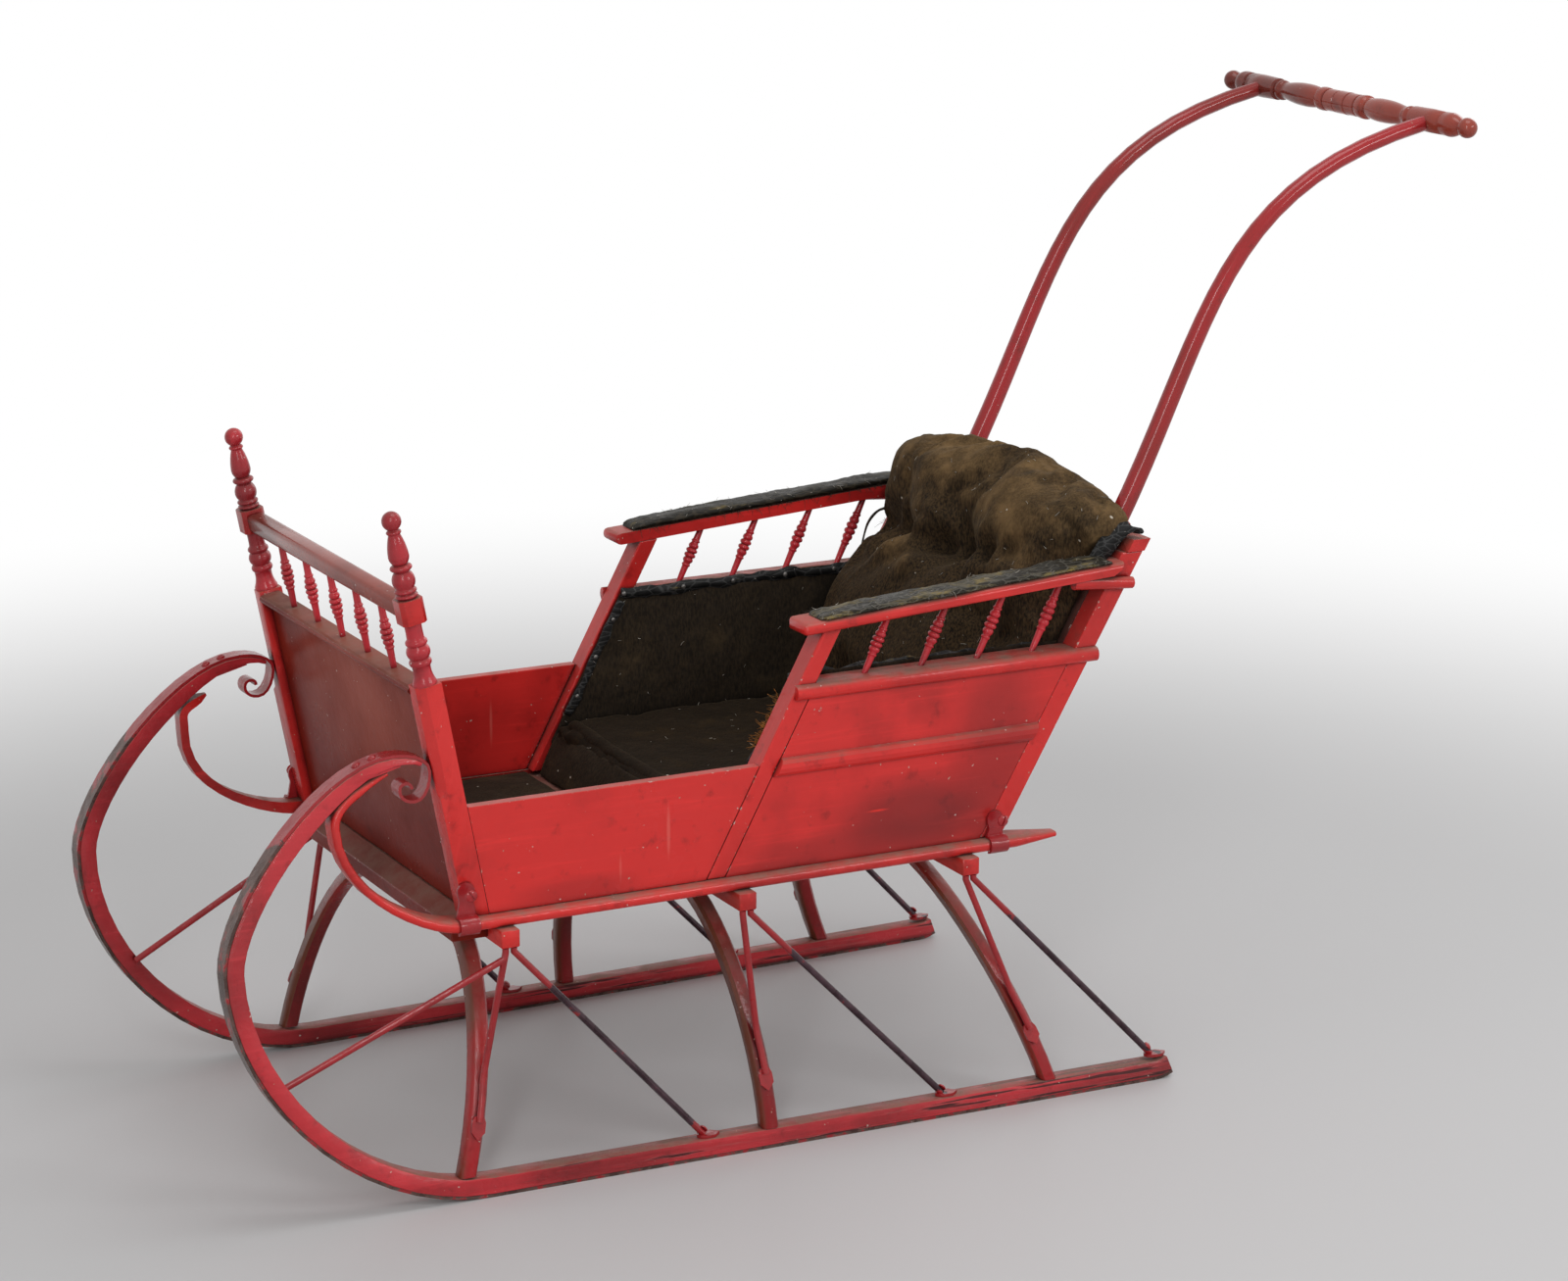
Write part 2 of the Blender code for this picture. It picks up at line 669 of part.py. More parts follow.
# Bows and cross beams
bow_crown = BEAM_BOTTOM - FIT - BOW_SIZE / 2


def bow_line(foot_x):
    """Return the bow's middle line in (y, z), from the right foot to the left one."""
    foot = Vector((runner_y(foot_x, runner_top) + BOW_OUTSET, sole_top(foot_x, BOW_SIZE / 2) + FIT))
    crown = Vector((BOW_CROWN * track_half, bow_crown))
    half = curve_through((
        (foot, None, foot + Vector((0, BOW_KNEE))),
        (crown, Vector((BOW_SHOULDER * track_half, bow_crown)), None),
    ), BOW_STEPS)
    half.insert(1, foot + Vector((0, FIT * 5)))
    other = [Vector((-point.x, point.y)) for point in half]
    return other + half[::-1]


def bow_x(z, beam_x, foot_x):
    """Return x of a bow's middle line at a height."""
    return beam_x + (foot_x - beam_x) * (bow_crown - z) / (bow_crown - runner_top)


for name, beam_x, foot_x, _ in STATIONS:
    line = bow_line(foot_x)
    bow = swept_mesh(line, rounded_section(BOW_SIZE, BOW_SIZE, BOW_ROUND, 1))
    rake = (foot_x - beam_x) / (runner_top - bow_crown)
    bow.transform(Matrix(((0, 0, 1, 0), (1, 0, 0, 0), (0, 1, 0, 0), (0, 0, 0, 1))))
    bow.transform(Matrix(((1, 0, rake, beam_x - rake * bow_crown), (0, 1, 0, 0), (0, 0, 1, 0), (0, 0, 0, 1))))
    place("bow_" + name, bow, RED)

    beam = box_mesh((beam_x - BEAM_SIZE_X / 2, -beam_half, BEAM_BOTTOM),
                    (beam_x + BEAM_SIZE_X / 2, beam_half, beam_top))
    bevel(place("cross_beam_" + name, beam, RED), EDGE_BREAK)


# Iron rods
def foot_plate():
    """Return a flattened, pointed rod end in local XY, its point towards +X."""
    outline = []
    for i in range(5):
        angle = math.radians(90 + 180 * i / 4)
        outline.append(Vector((math.cos(angle), math.sin(angle))) * FOOT_WIDTH / 2)
    outline.append(Vector((FOOT_SHOULDER, -FOOT_WIDTH / 2)))
    outline.append(Vector((FOOT_POINT, 0)))
    outline.append(Vector((FOOT_SHOULDER, FOOT_WIDTH / 2)))
    return flat_mesh(outline, FOOT_THICKNESS)


def outside_of_bow(line, z, distance):
    """Return (y, z) outside the leg's outer face, near a height."""
    half = line[len(line) // 2:]
    for upper, lower in zip(half, half[1:]):
        if lower.y <= z <= upper.y:
            share = (z - lower.y) / (upper.y - lower.y)
            point = lower.lerp(upper, share)
            along = (lower - upper).normalized()
            return point + Vector((-along.y, along.x)) * (BOW_SIZE / 2 + distance)
    return half[-1]


def along_leg(line, z, distance, beam_x, foot_x, side):
    """Return a point on the leg's outer face, in the bow's raked plane."""
    spot = outside_of_bow(line, z, distance)
    return Vector((bow_x(spot.y, beam_x, foot_x), side * spot.x, spot.y))


for name, beam_x, foot_x, brace_x in STATIONS:
    line = bow_line(foot_x)
    for side_name, side in SIDES:
        lift = ROD_RADIUS + FIT * 4
        top = Vector((beam_x + BRACE_SPACING / 2, side * stay_top_y, BEAM_BOTTOM - FIT))
        bend = along_leg(line, STAY_BEND_Z, lift, beam_x, foot_x, side)
        knee = along_leg(line, (STAY_BEND_Z + STAY_FOOT_Z) / 2, lift, beam_x, foot_x, side)
        end = along_leg(line, STAY_FOOT_Z, lift, beam_x, foot_x, side)
        above_bend = bend.lerp(top, ROD_BEND)
        below_top = top - Vector((0, 0, ROD_START))
        stay = rod_mesh((top, below_top, above_bend, bend, knee, end), ROD_RADIUS)
        stay_part = place(f"leg_stay_{name}_{side_name}", stay, IRON)
        plate = foot_plate()
        down = (end - knee).normalized()
        outward = (along_leg(line, STAY_FOOT_Z, FOOT_LENGTH, beam_x, foot_x, side)
                   - along_leg(line, STAY_FOOT_Z, 0.0, beam_x, foot_x, side)).normalized()
        across = outward.cross(down)
        seat = along_leg(line, STAY_FOOT_Z, FOOT_THICKNESS / 2 + FIT * 3, beam_x, foot_x, side)
        frame = Matrix((down, across, outward)).transposed().to_4x4()
        plate.transform(Matrix.Translation(seat) @ frame)
        boolean(stay_part, plate, 'UNION')

        brace_top = Vector((beam_x - BRACE_SPACING / 2, side * stay_top_y, BEAM_BOTTOM - FIT))
        brace_y = side * runner_y(brace_x, runner_top)
        brace_z = sole_top(brace_x, FOOT_LENGTH / 2) + FIT + FOOT_THICKNESS / 2
        brace_foot = Vector((brace_x, brace_y, brace_z + ROD_RADIUS * 0.4))
        start = brace_top - Vector((0, 0, ROD_START))
        brace = rod_mesh((brace_top, start, brace_foot), ROD_RADIUS)
        brace_part = place(f"diagonal_brace_{name}_{side_name}", brace, IRON)
        plate = foot_plate()
        heading = math.atan2(brace_y - brace_top.y, brace_x - brace_top.x)
        plate.transform(Matrix.Translation((brace_x, brace_y, brace_z)) @ Matrix.Rotation(heading, 4, 'Z'))
        boolean(brace_part, plate, 'UNION')

        if name == "front":
            nose_y = side * (runner_y(NOSE_BRACE_X, NOSE_BRACE_Z) - RUNNER_WIDTH / 2 - FIT * 2 - ROD_RADIUS)
            nose = Vector((NOSE_BRACE_X, nose_y, NOSE_BRACE_Z))
            second = rod_mesh((top - Vector((0, 0, NOSE_BRACE_DROP)), nose), ROD_RADIUS)
            boolean(stay_part, second, 'UNION')


# Sills with their front loops
def sill_section():
    """Return the sill's half-round section: flat inside, round outside."""
    half_height = SILL_HEIGHT / 2
    flat = SILL_WIDTH / 2 - half_height
    points = [(-half_height, -SILL_WIDTH / 2), (half_height, -SILL_WIDTH / 2)]
    for i in range(7):
        angle = math.radians(180 * i / 6)
        points.append((half_height * math.cos(angle), flat + half_height * math.sin(angle)))
    return points


def sill_line(broken):
    """Return the sill's middle line in (x, z) and its thickness share at each point."""
    tail = Vector((SILL_TAIL_X, sill_middle))
    shoulder = Vector((SILL_TAPER_X, sill_middle))
    start = Vector((SILL_FRONT_X, sill_middle))
    droop = LOOP_DROOP if broken else 0.0
    front = LOOP_FRONT - Vector((0, droop))
    under, _ = nose_underside(loop_tip_x)
    tip_drop = FIT * 2 + CLIP_THICKNESS + SILL_HEIGHT * LOOP_TIP_SCALE / 2
    tip = LOOP_BREAK if broken else Vector((loop_tip_x, under - tip_drop))
    loop = curve_through((
        (start, None, start + LOOP_START_PULL),
        (front, front - Vector((0, LOOP_LOW_PULL)), front + Vector((0, LOOP_HIGH_PULL))),
        (tip, tip + LOOP_TIP_PULL, None),
    ), LOOP_STEPS)
    shares = [SILL_TAIL_SCALE, 1.0, 1.0]
    for i in range(1, len(loop)):
        pointed = min((len(loop) - 1 - i) / LOOP_POINTED, 1.0)
        thin = LOOP_TIP_SCALE + (LOOP_SCALE - LOOP_TIP_SCALE) * pointed
        shares.append(max(thin, 1.0 - (1.0 - LOOP_SCALE) * i / LOOP_SHAVED))
    if broken:
        shares[-LOOP_POINTED:] = [LOOP_SCALE] * (LOOP_POINTED - 2) + list(LOOP_SPLINTER)
    return [tail, shoulder] + loop, shares, tip


for side_name, side in SIDES:
    broken = side_name == "right"
    line, shares, tip = sill_line(broken)
    sill = swept_mesh(line, sill_section(), shares)
    upright(sill)
    reach = sill_middle_y - runner_y(tip.x, tip.y)
    for vertex in sill.vertices:
        rise = max(vertex.co.z - sill_top, 0.0) / (tip.y - sill_top)
        vertex.co.y = side * (sill_middle_y - vertex.co.y - reach * rise)
    if side > 0:
        sill.flip_normals()
    place("sill_" + side_name, sill, RED)


# Body: floor, front rail and dash
floor = box_mesh((FLOOR_REAR_X, -sill_inner + FIT, beam_top + FIT),
                 (DASH_X - POST_SIZE / 2 - FIT * 2, sill_inner - FIT, floor_top))
place("floor_board", floor, RED)

front_beam_x = STATIONS[0][1]
rail_rear = front_beam_x + BEAM_SIZE_X / 2 + FIT
floor_front = DASH_X - POST_SIZE / 2 - FIT
rail_outline = (
    (rail_rear, FRONT_RAIL_BOTTOM), (FRONT_RAIL_FACE_X - FRONT_RAIL_UNDERCUT, FRONT_RAIL_BOTTOM),
    (FRONT_RAIL_FACE_X, FRONT_RAIL_SHOULDER_Z), (FRONT_RAIL_TOP_X, body_bottom - FIT),
    (floor_front, body_bottom - FIT), (floor_front, beam_top), (rail_rear, beam_top),
)
front_rail = upright(flat_mesh(rail_outline, 2 * (sill_inner - FIT)))
rail_part = place("front_rail", front_rail, DARK_RED)


def dash_box(name, low, high, material, guide=False):
    """Place a box given in the dash's leaning frame."""
    mesh = box_mesh(low, high)
    mesh.transform(DASH)
    return place(name, mesh, material, guide)


dash_inner = post_y - POST_SIZE / 2 - FIT
panel_front = POST_SIZE / 2 - DASH_RECESS
panel_foot = panel_front * DASH_LEAN + FIT
panel_rear = panel_front - DASH_THICKNESS
dash = dash_box("dash_panel", (panel_rear, -dash_inner, panel_foot),
                (panel_front, dash_inner, CAP_TOP - OVERLAP), DARK_RED)


def cap_outline():
    """Return the cap's section in (x, z): a rounded shelf over a hollow moulding."""
    front = POST_SIZE / 2 + CAP_PROUD
    radius = CAP_HEIGHT / 2
    foot = CAP_TOP - CAP_HEIGHT
    points = [(panel_rear - OVERLAP, foot - CAP_MOULDING), (panel_rear - OVERLAP, CAP_TOP)]
    for i in range(5):
        angle = math.radians(90 - 180 * i / 4)
        points.append((front - radius + radius * math.cos(angle), foot + radius + radius * math.sin(angle)))
    for i in range(5):
        angle = math.radians(90 * i / 4)
        points.append((panel_front + CAP_MOULDING * (1 - math.sin(angle)) + FIT,
                       foot - CAP_MOULDING * (1 - math.cos(angle))))
    return points


cap = upright(flat_mesh(cap_outline(), 2 * (dash_inner - FIT)))
cap.transform(DASH)
boolean(dash, cap, 'UNION')


def spindle_mesh(length, bead_start, bead_end):
    """Return a turned spindle on local Z, its beads between two shares of its length."""
    low = length * bead_start
    pitch = length * (bead_end - bead_start) / (len(SPINDLE_BEADS) + 2)
    profile = [(0.0, SPINDLE_END_RADIUS), (low, SPINDLE_WAIST_RADIUS), (low + pitch / 2, SPINDLE_COLLAR)]
    for i, radius in enumerate(SPINDLE_BEADS):
        foot = low + pitch * (i + 1)
        profile += [(foot, SPINDLE_VALLEY), (foot + pitch / 2, radius)]
    high = low + pitch * (len(SPINDLE_BEADS) + 1)
    profile += [(high, SPINDLE_VALLEY), (high + pitch / 2, SPINDLE_COLLAR)]
    profile += [(high + pitch, SPINDLE_WAIST_RADIUS), (length, SPINDLE_END_RADIUS)]
    return turned_mesh(profile, SPINDLE_STEPS)


gallery = dash_box("dash_gallery", (-RAIL_DEPTH / 2, -dash_inner, RAIL_BOTTOM),
                   (RAIL_DEPTH / 2, dash_inner, RAIL_BOTTOM + RAIL_HEIGHT), RED)
bevel(gallery, RAIL_ROUND, 2)
spindle_low = CAP_TOP + FIT
for i in range(DASH_SPINDLES):
    y = -dash_inner + 2 * dash_inner * (i + 1) / (DASH_SPINDLES + 1)
    spindle = spindle_mesh(RAIL_BOTTOM - spindle_low + 2 * OVERLAP, *DASH_BEADS)
    spindle.transform(DASH @ Matrix.Translation((0, y, spindle_low)))
    boolean(gallery, spindle, 'UNION')

def chamfer_cutter():
    """Return a cutter, in the plane of a post's diagonal, that flattens a corner and runs out below."""
    corner = POST_SIZE / 2 * math.sqrt(2)
    face = corner - CHAMFER_FACE / 2
    outside = corner + CHAMFER_FACE
    start = Vector((face, CHAMFER_LOW + CHAMFER_TONGUE))
    end = Vector((corner + OVERLAP, CHAMFER_LOW))
    tongue = curve_through(((start, None, start - Vector((0, CHAMFER_TONGUE * 0.7))),
                            (end, end + Vector((0, CHAMFER_TONGUE * 0.6)), None)), 5)
    outline = [Vector((face, POST_SQUARE + FIT))] + tongue
    outline += [Vector((outside, CHAMFER_LOW)), Vector((outside, POST_SQUARE + FIT))]
    return upright(flat_mesh(outline, 2 * POST_SIZE))


finial = ball_points(FINIAL_HEIGHT, FINIAL_RADIUS, BALL_FOOT, BALL_POLE, BALL_STEPS)
for side_name, side in SIDES:
    middle = DASH @ Matrix.Translation((0, side * post_y, POST_SQUARE))
    half = POST_SIZE / 2
    turned = turned_mesh([(-OVERLAP, POST_PROFILE[0][1])] + list(POST_PROFILE)
                         + [(POST_BLOCK_LOW + OVERLAP, POST_PROFILE[-1][1])], TURNED_STEPS)
    turned.transform(middle)
    square = box_mesh((-half, side * post_y - half, -half), (half, side * post_y + half, POST_SQUARE))
    square.transform(DASH)
    post = place("dash_post_" + side_name, square, RED)
    boolean(post, turned, 'UNION')
    block = flat_mesh([(half, half - BLOCK_CHAMFER), (half - BLOCK_CHAMFER, half),
                       (BLOCK_CHAMFER - half, half), (-half, half - BLOCK_CHAMFER),
                       (-half, BLOCK_CHAMFER - half), (BLOCK_CHAMFER - half, -half),
                       (half - BLOCK_CHAMFER, -half), (half, BLOCK_CHAMFER - half)],
                      POST_BLOCK_HIGH - POST_BLOCK_LOW)
    block.transform(middle @ Matrix.Translation((0, 0, (POST_BLOCK_LOW + POST_BLOCK_HIGH) / 2)))
    boolean(post, block, 'UNION')
    top = turned_mesh([(POST_BLOCK_HIGH - 2 * OVERLAP, POST_TOP_PROFILE[0][1])] + list(POST_TOP_PROFILE)
                      + finial, TURNED_STEPS)
    top.transform(middle)
    boolean(post, top, 'UNION')
    corner = chamfer_cutter()
    diagonal = Matrix.Rotation(side * math.radians(45), 4, 'Z')
    corner.transform(DASH @ Matrix.Translation((0, side * post_y, 0)) @ diagonal)
    boolean(post, corner, 'DIFFERENCE')
    below = box_mesh((DASH_X - POST_SQUARE, -2 * BODY_HALF, 0),
                     (DASH_X + POST_SQUARE, 2 * BODY_HALF, body_bottom))
    boolean(post, below, 'DIFFERENCE')


# Body: sides
def side_board(name, outline, outer, thickness, side, material):
    """Place a board drawn in (x, z), its outer face at a distance from the centre line."""
    mesh = upright(flat_mesh(outline, thickness))
    mesh.transform(Matrix.Translation((0, side * (outer - thickness / 2), 0)))
    return place(name, mesh, material)


def slanted(edge_at, low, high, width):
    """Return a stile's outline: an edge line by height, and a level width behind it."""
    return [(edge_at(low), low), (edge_at(high), high),
            (edge_at(high) - width, high), (edge_at(low) - width, low)]


def rear_front_at(z):
    """Return x of the rear stile's front edge at a height."""
    return back_at(z) + REAR_STILE_WIDTH


def arm_under(x):
    """Return the height of the armrest's underside."""
    return ARM_FRONT_Z + ARM_SLOPE * (ARM_FRONT_X - x)


def arm_over(x):
    """Return the height of the armrest's top."""
    return arm_under(x) + ARM_THICKNESS


def on_arm_nosing(middle):
    """Tell whether an edge's middle lies on the armrest's outer or front edges."""
    at_face = min(abs(middle.z - arm_under(middle.x)), abs(middle.z - arm_over(middle.x))) < FIT
    at_front = middle.x > ARM_FRONT_X - FIT
    return at_front or (at_face and abs(middle.y) > arm_outer - FIT)


def meet(edge_at, height_at):
    """Return the point where a slanted edge meets a sloping height."""
    z = height_at(0.0)
    for _ in range(20):
        z = height_at(edge_at(z))
    return Vector((edge_at(z), z))


post_rear = POST_SIZE / 2 / math.cos(dash_angle) + FIT * 2
for side_name, side in SIDES:
    panel_front_foot = Vector((DASH_X - post_rear, body_bottom))
    low_outline = [panel_front_foot,
                   panel_front_foot + Vector((DASH_LEAN, 1)) * (LOW_PANEL_TOP - body_bottom),
                   (front_stile_at(LOW_PANEL_TOP) + FIT * 2, LOW_PANEL_TOP),
                   (front_stile_at(body_bottom) + FIT * 2, body_bottom)]
    side_board("low_panel_" + side_name, low_outline, BODY_HALF, PANEL_THICKNESS, side, RED)

    front_top = meet(front_stile_at, arm_under)
    rear_top = meet(lambda z: front_stile_at(z) - STILE_WIDTH, arm_under)
    stile_outline = [(front_stile_at(body_bottom), body_bottom), front_top - Vector((0, FIT)),
                     rear_top - Vector((0, FIT)), (front_stile_at(body_bottom) - STILE_WIDTH, body_bottom)]
    side_board("front_stile_" + side_name, stile_outline, BODY_HALF, STILE_DEPTH, side, RED)

    rear_outline = slanted(rear_front_at, body_bottom, rear_stile_top, REAR_STILE_WIDTH)
    side_board("rear_stile_" + side_name, rear_outline, BODY_HALF, STILE_DEPTH, side, RED)

    panel_top = gallery_bottom - FIT
    gap = FIT * 2
    panel_outline = [(front_stile_at(body_bottom) - STILE_WIDTH - gap, body_bottom),
                     (front_stile_at(panel_top) - STILE_WIDTH - gap, panel_top),
                     (rear_front_at(panel_top) + gap, panel_top),
                     (rear_front_at(body_bottom) + gap, body_bottom)]
    panel = side_board("side_panel_" + side_name, panel_outline, BODY_HALF, PANEL_THICKNESS, side, RED)
    bead_front = front_stile_at(moulding_z) - STILE_WIDTH - gap
    bead_rear = rear_front_at(moulding_z) + gap
    bead_half = MOULDING_HEIGHT / 2
    section = half_round(BODY_HALF - OVERLAP, MOULDING_PROUD + OVERLAP, -bead_half, bead_half)
    bead = along_x(section, bead_rear, bead_front, side)
    bead.transform(Matrix(((1, 0, -STILE_LEAN, 0), (0, 1, 0, 0), (0, 0, 1, moulding_z), (0, 0, 0, 1))))
    boolean(panel, bead, 'UNION')

    gallery_top = gallery_bottom + GALLERY_HEIGHT
    core_outline = [(front_stile_at(gallery_bottom) - STILE_WIDTH - gap, gallery_bottom),
                    (front_stile_at(gallery_top) - STILE_WIDTH - gap, gallery_top),
                    (rear_front_at(gallery_top) + gap, gallery_top),
                    (rear_front_at(gallery_bottom) + gap, gallery_bottom)]
    core = side_board("arm_gallery_" + side_name, core_outline, BODY_HALF + FIT + OVERLAP,
                      STILE_DEPTH + FIT + OVERLAP, side, RED)
    lap_front = front_stile_at(gallery_top) + GALLERY_LAP
    lap_rear = back_at(gallery_bottom) - GALLERY_LAP * 2
    section = half_round(BODY_HALF + FIT, GALLERY_PROUD, gallery_bottom, gallery_top)
    nosing = along_x(section, lap_rear, lap_front, side)
    boolean(core, nosing, 'UNION')
    lean = math.atan(SPINDLE_LEAN)
    for i in range(SIDE_SPINDLES):
        foot_x = SIDE_SPINDLE_FIRST_X - SIDE_SPINDLE_PITCH * i
        foot = Vector((foot_x, side * post_y, gallery_top - 2 * OVERLAP))
        head = meet(lambda z: foot.x - SPINDLE_LEAN * (z - foot.z), arm_under)
        length = (head.y - foot.z) / math.cos(lean) - SPINDLE_END_RADIUS * SPINDLE_LEAN - FIT * 2
        spindle = spindle_mesh(length, *SIDE_BEADS)
        spindle.transform(Matrix.Translation(foot) @ Matrix.Rotation(-lean, 4, 'Y'))
        boolean(core, spindle, 'UNION')

    arm_rear_low = meet(lambda z: rear_front_at(z) + gap, arm_under)
    arm_rear_high = meet(lambda z: rear_front_at(z) + gap, arm_over)
    arm_outline = [arm_rear_low, (ARM_FRONT_X, arm_under(ARM_FRONT_X)),
                   (ARM_FRONT_X, arm_over(ARM_FRONT_X)), arm_rear_high]
    arm = side_board("armrest_" + side_name, arm_outline, arm_outer, arm_outer - arm_inner, side, RED)
    round_edges(arm, ARM_ROUND, 3, on_arm_nosing)
    cleat_start = Vector((arm_rear_low.x + CLEAT_LAP, side * (BODY_HALF + FIT + CLEAT_RADIUS), 0))
    cleat_start.z = arm_under(cleat_start.x) - CLEAT_RADIUS / 3
    cleat_end = cleat_start + Vector((-CLEAT_LENGTH, 0, CLEAT_RADIUS / 3 - CLEAT_DROP * CLEAT_LENGTH))
    cleat = rod_mesh((cleat_start, cleat_end), CLEAT_RADIUS, resolution=3)
    boolean(arm, cleat, 'UNION')

    pad_front = ARM_FRONT_X - PAD_FRONT_SETBACK
    pad_rear = arm_rear_high.x + PAD_REAR_SETBACK
    pad_floor = ARM_THICKNESS + FIT
    pad_roof = pad_floor + PAD_THICKNESS
    pad_outline = []
    for x, rise in ((pad_front, pad_floor), (pad_front, pad_roof), (pad_rear, pad_roof), (pad_rear, pad_floor)):
        pad_outline.append((x, arm_under(x) + rise))
    pad = side_board("armrest_pad_" + side_name, pad_outline, arm_outer - PAD_EDGE,
                     arm_outer - arm_inner - 2 * PAD_EDGE, side, LEATHER)
    bevel(pad, PAD_ROUND, 2)


# Back
def arm_rod_line():
    """Return the handle arm's middle line in (x, z), from its foot to the handlebar."""
    foot, bend = [Vector((back_at(z), z)) for z in (ARM_ROD_FOOT_Z, arm_rod_bend_z)]
    bar_centre = Vector((BAR_X, BAR_Z))
    reach = BAR_SOCKET_RADIUS - SOCKET_DEPTH + FIT
    end = bar_centre - (bar_centre - ARM_ROD_HIGH_PULL).normalized() * reach
    bent = curve_through(((bend, None, ARM_ROD_LOW_PULL), (end, ARM_ROD_HIGH_PULL, None)), ARM_ROD_STEPS)
    return [foot, (foot + bend) / 2] + bent


rod_line = arm_rod_line()
BACK = Matrix.Translation((BACK_X, 0, body_bottom)) @ Matrix.Rotation(-back_angle, 4, 'Y')
board_offset = ARM_ROD_RADIUS + FIT
level = 1 / math.cos(back_angle)


def up_back(z, near):
    """Return the length up the slope that reaches a height, at a distance in front of the back plane."""
    return (z - body_bottom - near * math.sin(back_angle)) / math.cos(back_angle)


def back_outline(low, high, near, far):
    """Return a slanted outline in (x, z) between two distances in front of the back plane."""
    return [(back_at(low) + near * level, low), (back_at(high) + near * level, high),
            (back_at(high) + far * level, high), (back_at(low) + far * level, low)]


board_low = floor_top + FIT
board_outline = back_outline(board_low, rear_stile_top, board_offset, board_offset + BACK_BOARD_THICKNESS)
board = upright(flat_mesh(board_outline, 2 * (stile_inner - FIT)))
place("back_board", board, RED)

crest_low = rear_stile_top + FIT
crest_top = crest_low + CREST_HEIGHT
crest_outline = [(back_at(crest_low), crest_low), (back_at(crest_top), crest_top),
                 (back_at(crest_top) + CREST_DEPTH, crest_top), (back_at(crest_low) + CREST_DEPTH, crest_low)]
crest = place("crest_rail", upright(flat_mesh(crest_outline, 2 * crest_half)), RED)
head_back = ARM_ROD_RADIUS + FIT * 3
head_foot = up_back(crest_top - CREST_HEIGHT / 2, head_back + HEAD_THICKNESS / 2)
head_outline = [Vector((-head_half, head_foot)), Vector((head_half, head_foot))]
for i in range(13):
    share = i / 12
    y = head_half * (1 - 2 * share)
    rise = HEAD_SHOULDER + (HEAD_RISE - HEAD_SHOULDER) * math.sin(math.pi * share) ** HEAD_FULLNESS
    head_outline.append(Vector((y, head_foot + rise)))
head = flat_mesh(head_outline, HEAD_THICKNESS)
head.transform(Matrix(((0, 0, 1, 0), (1, 0, 0, 0), (0, 1, 0, 0), (0, 0, 0, 1))))
head.transform(BACK @ Matrix.Translation((head_back + HEAD_THICKNESS / 2, 0, 0)))
boolean(crest, head, 'UNION')
for _, side in SIDES:
    through_crest = [point for point in rod_line[1:] if point.y < crest_top + 2 * HEAD_RISE]
    housing = rod_mesh([Vector((point.x, side * arm_rod_y, point.y)) for point in through_crest],
                       ARM_ROD_RADIUS + FIT, resolution=ARM_ROD_SIDES)
    boolean(crest, housing, 'DIFFERENCE')

# Upholstery
lining_inner = stile_inner - FIT - LINING_THICKNESS
seat_top = SEAT_BOARD_BOTTOM + SEAT_BOARD_THICKNESS
seat_rear = back_at(seat_top) + (board_offset + BACK_BOARD_THICKNESS) * level + FIT * 2
riser_top_x = front_stile_at(seat_top) - RISER_THICKNESS
riser_foot_x = front_stile_at(floor_top) - RISER_THICKNESS
seat_outline = [(seat_rear, seat_top), (seat_rear + BACK_LEAN * SEAT_BOARD_THICKNESS, SEAT_BOARD_BOTTOM),
                (riser_top_x - RISER_THICKNESS, SEAT_BOARD_BOTTOM),
                (riser_foot_x - RISER_THICKNESS, floor_top + FIT),
                (riser_foot_x, floor_top + FIT), (riser_top_x, seat_top)]
seat = upright(flat_mesh(seat_outline, 2 * (stile_inner - FIT)))
place("seat_board", seat, RED)

cushion_low = seat_top + FIT
cushion_top = cushion_low + CUSHION_THICKNESS
cushion_front = riser_top_x + APRON_THICKNESS / 2
cushion_rear = back_at(cushion_low) + (board_offset + BACK_BOARD_THICKNESS) * level + FIT * 2
cushion_outline = [(cushion_rear, cushion_low), (cushion_front, cushion_low),
                   (cushion_front, cushion_top), (cushion_rear - BACK_LEAN * CUSHION_THICKNESS, cushion_top)]
cushion = upright(flat_mesh(cushion_outline, 2 * (lining_inner - FIT)))
bevel(place("seat_cushion", cushion, CLOTH), CUSHION_ROUND, 2, 30)

apron_top = cushion_low - FIT * 2
apron_outline = [(front_stile_at(floor_top) - RISER_THICKNESS + FIT * 2, floor_top + FIT),
                 (front_stile_at(floor_top) - RISER_THICKNESS + APRON_THICKNESS, floor_top + FIT),
                 (front_stile_at(apron_top) - RISER_THICKNESS + APRON_THICKNESS, apron_top),
                 (front_stile_at(apron_top) - RISER_THICKNESS + FIT * 2, apron_top)]
apron = upright(flat_mesh(apron_outline, 2 * (stile_inner - FIT * 3)))
place("seat_apron", apron, CLOTH)

lining_low = seat_top + FIT
lining_top = gallery_top + LINING_PROUD
lining_rear = (board_offset + BACK_BOARD_THICKNESS) * level + FIT * 2
for side_name, side in SIDES:
    lining_outline = [(front_stile_at(lining_low) - RISER_THICKNESS - FIT, lining_low),
                      (front_stile_at(lining_top) - FIT, lining_top),
                      (back_at(lining_top) + lining_rear, lining_top),
                      (back_at(lining_low) + lining_rear, lining_low)]
    side_board("side_lining_" + side_name, lining_outline, stile_inner - FIT, LINING_THICKNESS, side, CLOTH)

